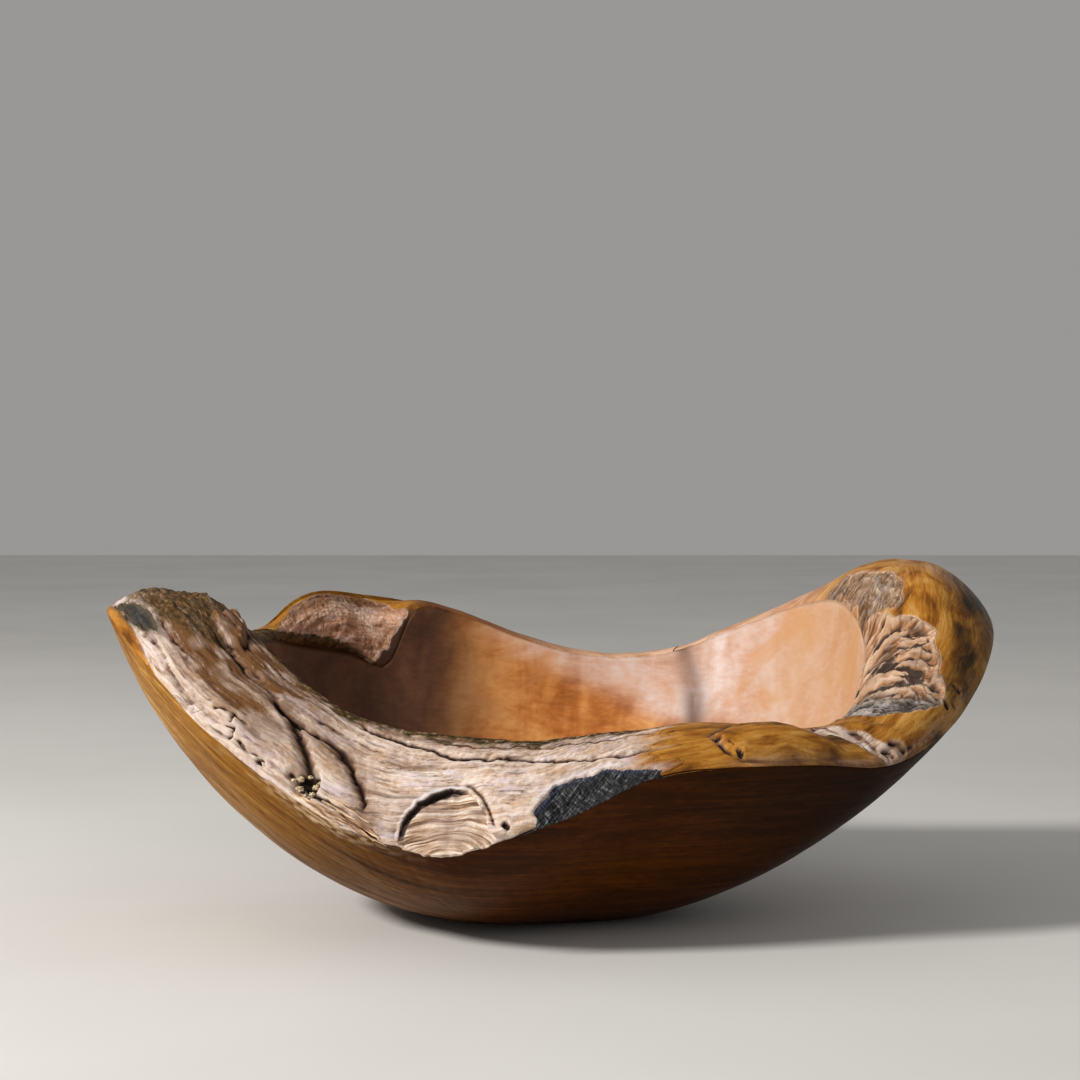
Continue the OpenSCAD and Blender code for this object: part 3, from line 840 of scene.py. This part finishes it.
def make_crumbs():
    """Chalky crumbs of rotten wood stuck in the knot hole, as closed lumps."""
    spots = ((-3.9, 1.0, -3.4, 1.9), (-2.0, -3.0, -3.0, 2.0), (3.4, 1.6, -3.6, 1.7), (3.6, -2.2, -3.2, 1.5),
             (-0.8, 4.1, -3.0, 1.2), (-5.2, -1.6, -2.2, 1.1), (1.0, -4.8, -2.4, 1.2), (4.9, 3.4, -1.8, 1.0))
    points, faces, count = [], [], 0
    width = width_at(np.array(KNOT_HOLE[0]))
    per_degree = np.interp(KNOT_HOLE[0] + 1, ROUND, RUN) - np.interp(KNOT_HOLE[0], ROUND, RUN)
    for index, (run, rise, height, size) in enumerate(spots):
        ball = bmesh.new()
        bmesh.ops.create_icosphere(ball, subdivisions=3, radius=1.0)
        unit = np.array([v.co for v in ball.verts])
        faces.append(np.array([[v.index for v in face.verts] for face in ball.faces]) + count)
        ball.free()
        rough = 0.42 * fbm(*(unit * 1.6).T, seed=200 + index) + 0.16 * noise(*(unit * 4).T, seed=220)
        lump = 0.78 * size * (1 + rough)
        centre = band_point(np.array(KNOT_HOLE[0] + run / per_degree),
                            np.array(KNOT_HOLE[1] + rise / width), height)
        points.append(unit * lump[:, None] * np.array([1.15, 0.9, 0.85]) + centre)
        count += len(unit)
    return make_mesh("knot_hole_crumb_lumps", np.concatenate(points), faces, SMOOTH_ALL, {})


def make_slivers():
    """Thin splinters lifting off the crust's lower edge, as tapered closed strips."""
    lifted = (((226.8, .075), (231, .12), (236, .075), (240.2, .005), 2.6, 0.9),
              ((228.2, .035), (232, .06), (236.5, .03), (239.5, -.025), 1.7, 0.5),
              ((229.5, .14), (232.5, .15), (235.5, .11), (238.2, .075), 1.1, 0.6),
              ((224.8, .01), (227.5, .03), (230.5, .03), (234.0, -.01), 1.5, 0.6),
              ((232.5, .015), (235.4, .025), (238.6, -.005), (241.8, -.03), 1.0, 0.4))
    sides, rings = 10, 64
    u = np.linspace(0, 1, rings)
    turn = np.arange(sides) / sides * 2 * np.pi
    points, faces, flow, count = [], [], [], 0
    for index, (p0, p1, p2, p3, width, thick) in enumerate(lifted):
        path = bezier([np.array(p)[None, :] for p in (p0, p1, p2, p3)], u[:, None])
        base = blur(relief(path[:, 0], path[:, 1]).height[None, :], 6)[0]
        taper = np.sin(np.pi * (0.06 + 0.88 * u)) ** 0.8 * (1 + 0.25 * noise(u * 9, index, seed=230))
        across = width / 2 * taper[:, None] * np.cos(turn)[None, :]
        up = thick / 2 * taper[:, None] * np.sin(turn)[None, :]
        up = up + 0.07 * noise(across * 3, u[:, None] * 4, seed=231 + index)
        level = base[:, None] + 0.25 + 0.7 * u[:, None] ** 3 + up
        ring_t = path[:, 1:] + across / width_at(path[:, 0])[:, None]
        ring_angle = np.broadcast_to(path[:, :1], ring_t.shape)
        points.append(band_point(ring_angle, ring_t, level).reshape(-1, 3))
        along = np.broadcast_arrays(60 * u[:, None], across + 9 * index, level)
        flow.append(np.stack(along, -1).reshape(-1, 3) * MM)
        ids = count + np.arange(rings * sides).reshape(rings, sides)
        nxt = np.roll(ids, -1, axis=1)
        faces.append(np.stack([ids[:-1], nxt[:-1], nxt[1:], ids[1:]], -1).reshape(-1, 4))
        faces.append(ids[0][::-1][None, :])
        faces.append(ids[-1][None, :])
        count += rings * sides
    return make_mesh("rim_slivers", np.concatenate(points), faces, SMOOTH_ALL, {"flow": np.concatenate(flow)})


# ---------------------------------------------------------------- finishes
def tint(r, g, b):
    """Linear colour from display values 0 to 255."""
    return tuple(c / 3294.6 if c < 10.3 else ((c / 255 + 0.055) / 1.055) ** 2.4 for c in (r, g, b)) + (1.0,)


class Finish:
    """One node material, built step by step. Scales are in cells per metre."""

    def __init__(self, name):
        self.material = bpy.data.materials.new(name)
        self.material.use_nodes = True
        self.tree = self.material.node_tree
        self.shader = self.tree.nodes["Principled BSDF"]

    def node(self, kind, **settings):
        node = self.tree.nodes.new("ShaderNode" + kind)
        for key, value in settings.items():
            setattr(node, key, value)
        return node

    def put(self, node, socket, value):
        if isinstance(value, bpy.types.NodeSocket):
            self.tree.links.new(value, node.inputs[socket])
        else:
            node.inputs[socket].default_value = value

    def node_axis(self, vector):
        """First number of a vector."""
        node = self.node("SeparateXYZ")
        self.put(node, 0, vector)
        return node.outputs[0]

    def mask(self, name):
        return self.node("Attribute", attribute_name=name).outputs["Fac"]

    def vector(self, name):
        return self.node("Attribute", attribute_name=name).outputs["Vector"]

    def math(self, operation, a, b):
        node = self.node("Math", operation=operation)
        self.put(node, 0, a)
        self.put(node, 1, b)
        return node.outputs[0]

    def times(self, a, b):
        return self.math("MULTIPLY", a, b)

    def plus(self, a, b):
        return self.math("ADD", a, b)

    def sum(self, *terms):
        """Sum of (value, weight) pairs."""
        total = self.times(*terms[0])
        for term in terms[1:]:
            total = self.plus(total, self.times(*term))
        return total

    def span(self, value, low, high, to_low=0.0, to_high=1.0):
        node = self.node("MapRange", interpolation_type="SMOOTHSTEP")
        for socket, setting in enumerate((value, low, high, to_low, to_high)):
            self.put(node, socket, setting)
        return node.outputs[0]

    def grain(self, vector, scale, detail=3.0, roughness=0.6, distortion=0.0, shift=0.0):
        mapping = self.node("Mapping")
        self.put(mapping, "Vector", vector)
        self.put(mapping, "Scale", scale)
        self.put(mapping, "Location", (shift, shift, shift))
        noise_node = self.node("TexNoise")
        for socket, setting in (("Vector", mapping.outputs[0]), ("Scale", 1.0), ("Detail", detail),
                                ("Roughness", roughness), ("Distortion", distortion)):
            self.put(noise_node, socket, setting)
        return noise_node.outputs["Fac"]

    def mix(self, under, over, amount):
        """Blend of two colours, each a socket or display values."""
        node = self.node("Mix", data_type="RGBA")
        self.put(node, 0, amount)
        for socket, colour in ((6, under), (7, over)):
            self.put(node, socket, tint(*colour) if isinstance(colour, tuple) else colour)
        return node.outputs[2]

    def ramp(self, value, *stops):
        node = self.node("ValToRGB")
        elements = node.color_ramp.elements
        while len(elements) < len(stops):
            elements.new(1.0)
        for element, (place, colour) in zip(elements, stops):
            element.position = place
            element.color = tint(*colour)
        self.put(node, 0, value)
        return node.outputs[0]

    def done(self, colour, roughness, height, strength, distance, coat=0.0, specular=0.5):
        bump = self.node("Bump")
        self.put(bump, "Height", height)
        self.put(bump, "Strength", strength)
        self.put(bump, "Distance", distance)
        for socket, setting in (
                ("Base Color", colour), ("Roughness", roughness), ("Normal", bump.outputs[0]),
                ("Coat Weight", coat), ("Coat Roughness", 0.3), ("Specular IOR Level", specular)):
            self.put(self.shader, socket, setting)
        return self.material


def bare_wood(f, flow, tones, fine_scale, streak_scale):
    """Bare fibres in four tones, under clouds of four more and dark hairline cracks; also their height."""
    fine = f.grain(flow, fine_scale, 4, 0.65)
    streak = f.grain(flow, streak_scale, 3, 0.6, 0.4)
    cloud = f.grain(flow, (38, 60, 38), 3, 0.55, 0.6, 3.0)
    hue = f.grain(flow, (70, 130, 70), 3, 0.6, 0.8, 9.0)
    speck = f.grain(flow, (420, 700, 420), 2, 0.6, 0.0, 5.0)
    level = f.sum((fine, 0.40), (streak, 0.36), (speck, 0.24))
    colour = f.ramp(level, (0.32, tones[0]), (0.44, tones[1]), (0.55, tones[2]), (0.68, tones[3]))
    colour = f.mix(colour, tones[4], f.span(cloud, 0.50, 0.72, 0.0, 0.5))
    colour = f.mix(colour, tones[5], f.span(cloud, 0.48, 0.30, 0.0, 0.5))
    colour = f.mix(colour, tones[6], f.span(hue, 0.53, 0.66, 0.0, 0.55))
    colour = f.mix(colour, tones[7], f.span(hue, 0.45, 0.33, 0.0, 0.6))
    line = f.grain(flow, (34, 260, 70), 3, 0.6, 0.5, 12.0)
    hairline = f.times(f.span(line, 0.486, 0.499), f.span(line, 0.512, 0.499))
    broken = f.span(f.grain(flow, (70, 160, 70), 2, 0.5, 0.0, 14.0), 0.48, 0.60, 0.0, 0.85)
    hairline = f.times(hairline, broken)
    colour = f.mix(colour, tones[0], hairline)
    return colour, f.math("SUBTRACT", level, f.times(hairline, 0.35))


def oiled_wood(f, flow, tones):
    """Oiled heartwood: fine streaks over slow changes of tone."""
    fine = f.grain(flow, (70, 420, 90), 4, 0.65, 0.4)
    slow = f.grain(flow, (30, 70, 40), 4, 0.55, 1.0, 5.0)
    level = f.sum((fine, 0.4), (slow, 0.6))
    return f.ramp(level, (0.37, tones[0]), (0.46, tones[1]), (0.54, tones[2]), (0.65, tones[3])), level


# bare wood: dark, middle, pale and palest fibres, then pale, grey, cool and warm clouds
CRUST_TONES = ((124, 94, 76), (178, 150, 130), (213, 192, 178), (234, 220, 210),
               (236, 224, 214), (160, 138, 130), (210, 196, 208), (182, 142, 104))
BACK_TONES = ((124, 82, 58), (172, 126, 98), (202, 160, 134), (234, 204, 184),
              (244, 224, 210), (116, 74, 50), (210, 182, 176), (138, 92, 58))
TOP_TONES = ((54, 38, 24), (104, 78, 56), (154, 124, 98), (214, 190, 164),
             (178, 152, 130), (86, 70, 58), (148, 138, 132), (120, 84, 52))
NOTCH_TONES = ((44, 36, 26), (76, 60, 42), (112, 88, 64), (150, 122, 92),
               (120, 104, 76), (48, 46, 32), (84, 76, 56), (92, 66, 40))
GOLD_TONES = ((96, 56, 14), (148, 92, 26), (176, 120, 44), (200, 150, 80))


def band_finish(name, tones=CRUST_TONES, fine_scale=(60, 900, 60), streak_scale=(22, 260, 90)):
    """The rim band: oiled wood and weathered wood, told apart by the masks on the mesh."""
    f = Finish(name)
    flow = f.vector("flow")
    bare, bare_level = bare_wood(f, flow, tones, fine_scale, streak_scale)
    oiled, oiled_level = oiled_wood(f, flow, GOLD_TONES)
    place = f.node_axis(flow)
    left = f.times(f.span(place, 0.427, 0.514), f.span(place, 1.2, 0.9))
    brown_edge = f.mix((128, 80, 44), (64, 40, 26), f.span(place, 0.522, 0.568))
    tan = f.mix(f.ramp(oiled_level, (0.35, (166, 112, 70)), (0.55, (212, 170, 138)),
                       (0.7, (230, 200, 176))), brown_edge, left)
    oiled = f.mix(oiled, tan, f.mask("tan"))
    # dark stains, and painted shade on the burl lobe's outer side
    oiled = f.mix(oiled, (40, 30, 14), f.times(f.mask("dark"), f.span(oiled_level, 0.62, 0.44, 0.62, 0.97)))
    # pale marks: worn wood, and painted highlight on two edges
    oiled = f.mix(oiled, (172, 140, 122), f.times(f.mask("pale"), f.span(bare_level, 0.42, 0.60, 0.1, 0.85)))
    # ridges painted pale: wear and painted highlight
    bare = f.mix(bare, (236, 222, 208), f.times(f.mask("wear_and_highlight"), 0.45))
    bare = f.mix(bare, (106, 72, 42), f.times(f.mask("dark"), f.span(bare_level, 0.68, 0.50, 0.50, 1.0)))
    cavity = f.mask("cavity")
    weathered = f.mask("weathered")
    colour = f.mix(oiled, bare, weathered)
    # painted shade: recesses darken to brown, then to near-black
    brown = f.mix((96, 58, 34), (70, 52, 46), f.grain(flow, (90, 200, 90), 2))
    colour = f.mix(colour, brown, f.span(cavity, 0.10, 0.75, 0.0, 0.85))
    colour = f.mix(colour, (22, 14, 10), f.span(cavity, 0.68, 1.0, 0.0, 0.95))
    moss_grain = f.grain(flow, (240, 520, 240), 3, 0.7)
    moss_tone = f.ramp(moss_grain, (0.36, (34, 34, 22)), (0.50, (74, 58, 32)), (0.64, (122, 92, 58)))
    moss = f.times(f.mask("moss"), f.span(moss_grain, 0.72, 0.50, 0.25, 1.0))
    colour = f.mix(colour, moss_tone, moss)
    # painted highlight on the fan knot's lip and the black patch's rim
    colour = f.mix(colour, (216, 216, 226), f.times(f.mask("silver"), 0.75))
    roughness = f.plus(f.times(weathered, 0.36), f.span(oiled_level, 0.3, 0.7, 0.46, 0.30))
    return f.done(colour, roughness, f.plus(bare_level, f.times(moss_grain, 0.5)), 0.7, 0.0011,
                  f.span(weathered, 0.5, 0.1, 0.0, 0.15), 0.08)


def hull_finish():
    f = Finish("oiled_hull_wood")
    flow = f.vector("flow")
    fine = f.grain(flow, (9, 560, 30), 4, 0.65, 0.3)
    slow = f.grain(flow, (9, 90, 16), 4, 0.55, 1.2, 2.0)
    speck = f.grain(flow, (190, 620, 190), 3, 0.6, 0.0, 4.0)
    blotch = f.grain(flow, (26, 44, 26), 3, 0.55, 0.5, 7.0)
    level = f.sum((fine, 0.36), (slow, 0.40), (speck, 0.24))
    # painted light and shade: the dark ramp is the hull's shaded tone, the light ramp its lit tone for the
    # left side
    dark = f.ramp(level, (0.34, (38, 15, 0)), (0.48, (60, 27, 0)), (0.60, (82, 40, 1)),
                  (0.74, (104, 58, 8)))
    light = f.ramp(level, (0.38, (88, 52, 8)), (0.46, (132, 84, 20)), (0.55, (158, 108, 34)),
                   (0.64, (194, 150, 74)))
    colour = f.mix(dark, light, f.mask("left"))
    colour = f.mix(colour, (40, 22, 12), f.span(blotch, 0.60, 0.82, 0.0, 0.35))
    # painted shade: the right of the hull goes near-black
    colour = f.mix(colour, (14, 6, 1), f.times(f.mask("right"), 0.72))
    colour = f.mix(colour, (214, 184, 146), f.times(f.mask("frayed"), f.span(fine, 0.36, 0.58, 0.2, 0.95)))
    return f.done(colour, f.span(level, 0.3, 0.7, 0.52, 0.38), level, 0.22, 0.0003, 0.0, 0.05)


def inside_finish():
    f = Finish("oiled_carved_wood")
    flow = f.vector("flow")
    wide = f.grain(flow, (11, 14, 16), 4, 0.55, 1.4)
    watery = f.grain(flow, (46, 12, 15), 3, 0.55, 0.9, 4.0)
    fine = f.grain(flow, (150, 150, 420), 4, 0.6, 0.6, 1.0)
    veins = f.grain(flow, (30, 40, 50), 4, 0.65, 2.2, 8.0)
    level = f.sum((wide, 0.36), (watery, 0.34), (fine, 0.14), (veins, 0.16))
    orange = f.ramp(level, (0.36, (120, 62, 20)), (0.46, (174, 104, 42)), (0.55, (208, 144, 78)),
                    (0.66, (226, 176, 118)))
    pale = f.ramp(level, (0.36, (172, 126, 96)), (0.46, (202, 164, 142)), (0.55, (214, 194, 186)),
                  (0.68, (230, 220, 220)))
    dark = f.ramp(level, (0.34, (50, 28, 15)), (0.47, (76, 45, 25)), (0.58, (100, 62, 35)),
                  (0.72, (128, 84, 50)))
    # paler tone with painted light on the right upper wall
    colour = f.mix(orange, pale, f.span(f.plus(f.mask("pale"), f.times(wide, 0.5)), 0.35, 1.05))
    clouds = f.grain(flow, (18, 20, 22), 3, 0.5, 1.6, 11.0)
    colour = f.mix(colour, (202, 142, 86), f.span(clouds, 0.48, 0.66, 0.0, 0.55))
    # darker wood with painted shade on the left wall
    colour = f.mix(colour, dark, f.span(f.plus(f.mask("dark"), f.times(wide, 0.4)), 0.35, 1.05))
    colour = f.mix(colour, (198, 146, 90), f.times(f.mask("amber"), f.span(wide, 0.35, 0.6, 0.45, 0.95)))
    colour = f.mix(colour, (104, 70, 54), f.times(f.mask("stain"), f.span(watery, 0.3, 0.6, 0.6, 0.98)))
    return f.done(colour, f.span(level, 0.3, 0.7, 0.54, 0.40), level, 0.12, 0.0003, 0.0, 0.25)


def fan_finish():
    f = Finish("end_grain_fan")
    flow = f.vector("flow")
    fine = f.grain(flow, (110, 900, 60), 4, 0.6)
    rings = f.grain(flow, (30, 520, 20), 2, 0.5, 0.6, 2.0)
    cloud = f.grain(flow, (60, 60, 60), 3)
    level = f.sum((fine, 0.4), (rings, 0.6))
    colour = f.ramp(level, (0.41, (92, 66, 46)), (0.47, (158, 126, 100)), (0.53, (198, 172, 150)),
                    (0.60, (230, 214, 198)))
    colour = f.mix(colour, (150, 128, 118), f.span(cloud, 0.5, 0.7, 0.0, 0.5))
    # painted shade: recesses and the gap inside the arch darken
    colour = f.mix(colour, (76, 52, 36), f.span(f.mask("cavity"), 0.1, 0.8, 0.0, 0.8))
    colour = f.mix(colour, (36, 24, 18), f.times(f.mask("shade"), 0.9))
    return f.done(colour, f.span(level, 0.3, 0.7, 0.9, 0.72), level, 0.6, 0.0006)


def black_finish(name, cool, dark, margin, scale):
    f = Finish(name)
    flow = f.vector("flow")
    across = f.grain(flow, (scale * 1.5, scale * 0.2, 60), 3, 0.6)
    along = f.grain(flow, (scale * 0.2, scale * 1.5, 60), 3, 0.6, 0.0, 3.0)
    level = f.sum((across, 0.5), (along, 0.5))
    colour = f.ramp(level, (0.42, dark), (0.50, (26, 26, 28)), (0.57, (60, 60, 64)), (0.66, cool))
    # painted bluish highlight on the black patch's rim
    colour = f.mix(colour, (150, 160, 184), f.times(f.mask("silver"), 0.7))
    colour = f.mix(colour, (70, 60, 46), f.times(f.mask("moss"), 0.15))
    # painted shade: recesses darken to near-black
    colour = f.mix(colour, (14, 13, 14), f.span(f.mask("cavity"), 0.3, 1.0, 0.0, 0.9))
    colour = f.mix(colour, margin, f.times(f.mask("rim"), 0.8))
    return f.done(colour, f.span(level, 0.4, 0.65, 0.72, 0.5), level, 0.7, 0.0006, 0.0, 0.3)


def torn_finish():
    """Torn fibre layers of the hollow: pale ridges as wear and painted highlight, painted shade in the gaps,
    grey at the bottom.
    """
    f = Finish("torn_bark_wood")
    flow = f.vector("flow")
    fine = f.grain(flow, (60, 800, 60), 4, 0.6)
    layers = f.grain(flow, (24, 230, 40), 3, 0.6, 0.5)
    level = f.sum((fine, 0.4), (layers, 0.6))
    colour = f.ramp(level, (0.38, (82, 46, 22)), (0.46, (146, 98, 58)), (0.54, (186, 142, 106)),
                    (0.64, (222, 194, 168)))
    cloud = f.grain(flow, (40, 60, 40), 2, 0.5, 0.0, 6.0)
    colour = f.mix(colour, (178, 128, 78), f.span(cloud, 0.5, 0.7, 0.0, 0.5))
    grey = f.ramp(level, (0.40, (28, 24, 20)), (0.51, (66, 58, 52)), (0.62, (146, 138, 136)))
    colour = f.mix(colour, grey, f.mask("grey"))
    # ridges painted pale: wear and painted highlight
    colour = f.mix(colour, (228, 206, 184), f.times(f.mask("wear_and_highlight"), 0.35))
    # painted shade in the gaps between the layers
    colour = f.mix(colour, (40, 24, 16), f.span(f.mask("cavity"), 0.18, 0.85, 0.0, 0.95))
    return f.done(colour, f.span(level, 0.3, 0.7, 0.9, 0.7), level, 0.6, 0.0008)


def crumb_finish():
    f = Finish("chalky_crumbs")
    place = f.node("TexCoord").outputs["Object"]
    grit = f.grain(place, (900, 900, 900), 4, 0.7)
    colour = f.ramp(grit, (0.34, (92, 70, 48)), (0.46, (186, 164, 126)), (0.60, (226, 210, 176)),
                    (0.72, (240, 230, 206)))
    return f.done(colour, f.span(grit, 0.3, 0.7, 0.95, 0.8), grit, 0.8, 0.0006)


def sliver_finish():
    f = Finish("raw_sliver_wood")
    flow = f.vector("flow")
    fine = f.grain(flow, (50, 1100, 200), 4, 0.6)
    colour = f.ramp(fine, (0.38, (84, 54, 34)), (0.47, (150, 110, 76)), (0.55, (204, 170, 134)),
                    (0.66, (236, 212, 184)))
    return f.done(colour, f.span(fine, 0.3, 0.7, 0.8, 0.6), fine, 0.5, 0.0004)


def floor_finish():
    f = Finish("pale_studio_floor")
    place = f.node("TexCoord").outputs["Object"]
    mottle = f.grain(place, (3, 3, 3), 3)
    colour = f.ramp(mottle, (0.35, (214, 213, 210)), (0.65, (222, 221, 218)))
    return f.done(colour, f.span(mottle, 0.3, 0.7, 0.75, 0.65), mottle, 0.02, 0.001)


def finish_piece(piece, material, slot, *nodes):
    piece.data.materials.append(material)
    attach(piece, "root")
    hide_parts(*nodes)


def make_pieces():
    crust = band_finish("weathered_sapwood")
    black = black_finish("black_heartwood", (128, 130, 138), (12, 12, 13), (44, 52, 74), 520)
    tip = black_finish("black_tip_wood", (66, 74, 86), (16, 18, 22), (74, 62, 44), 300)
    facet = band_finish("back_weathered_wood", BACK_TONES, (90, 150, 90), (36, 60, 36))
    notch = band_finish("dark_bark_edge", NOTCH_TONES)
    burl_top = band_finish("grey_weathered_wood", TOP_TONES, (300, 420, 300), (70, 130, 70))
    finish_piece(make_hull(), hull_finish(), "oiled_heartwood", "bowl_body")
    finish_piece(make_inside(), inside_finish(), "oiled_heartwood", "bowl_body")
    finish_piece(make_rim(), crust, "oiled_heartwood", "bowl_body")
    finish_piece(make_crust(), crust, "weathered_sapwood", "front_sapwood_crust")
    finish_piece(make_fan_knot(), fan_finish(), "end_grain_knot", "fan_knot")
    finish_piece(make_black_heart(), black, "black_heartwood", "black_heart_patch")
    finish_piece(make_tip_black(), tip, "black_tip_wood", "tip_black_patch")
    finish_piece(make_crumbs(), crumb_finish(), "pale_rotted_wood", "knot_hole_crumbs")
    finish_piece(make_slivers(), sliver_finish(), "split_sliver", "rim_splinter")
    finish_piece(make_back_facet(), facet, "back_weathered_sapwood", "back_left_sapwood")
    finish_piece(make_notch_bark(), notch, "dark_bark_edge", "notch_bark_strip")
    finish_piece(make_hollow_bark(), torn_finish(), "torn_bark", "right_bark_layers")
    finish_piece(make_top_patch(), burl_top, "grey_weathered_wood", "right_top_sapwood")


# ---------------------------------------------------------------- stage, light and camera
def make_floor():
    mesh = bpy.data.meshes.new("studio_floor")
    reach = 4.0
    mesh.from_pydata([(-reach, -reach, 0), (reach, -reach, 0), (reach, reach, 0), (-reach, reach, 0)], [],
                     [(0, 1, 2, 3)])
    floor = bpy.data.objects.new("studio_floor", mesh)
    bpy.context.scene.collection.objects.link(floor)
    mesh.materials.append(floor_finish())


def add_light(name, place, aim, size, power, colour):
    light = bpy.data.lights.new(name, "AREA")
    light.shape = "DISK"
    light.size = size
    light.energy = power
    light.color = colour
    lamp = bpy.data.objects.new(name, light)
    lamp.location = place
    lamp.rotation_euler = (Vector(aim) - Vector(place)).to_track_quat("-Z", "Y").to_euler()
    bpy.context.scene.collection.objects.link(lamp)


def light_scene():
    warm = (1.0, 0.97, 0.93)
    middle = (0, 0, 0.08)
    add_light("key", (-1.5, -0.95, 1.15), middle, 0.36, 47.0, warm)
    add_light("fill", (1.2, -1.6, 1.5), middle, 1.6, 4.0, (1.0, 0.97, 0.94))
    world = bpy.data.worlds.new("soft_world")
    world.use_nodes = True
    background = world.node_tree.nodes["Background"]
    background.inputs["Color"].default_value = (1.0, 0.975, 0.95, 1.0)
    background.inputs["Strength"].default_value = 0.32
    bpy.context.scene.world = world
    bpy.context.scene.view_settings.view_transform = "Standard"


def add_camera():
    """In front of the bowl and a little above its rim, tilted slightly down."""
    tilt_down = 2.07
    data = bpy.data.cameras.new("camera")
    data.lens = 75.0
    data.sensor_width = 36.0
    data.clip_end = 30.0
    camera = bpy.data.objects.new("camera", data)
    camera.location = (-0.001, -1.078, 0.218)
    camera.rotation_euler = (math.radians(90 - tilt_down), 0.0, 0.0)
    bpy.context.scene.collection.objects.link(camera)
    bpy.context.scene.camera = camera


make_pieces()
make_floor()
light_scene()
add_camera()
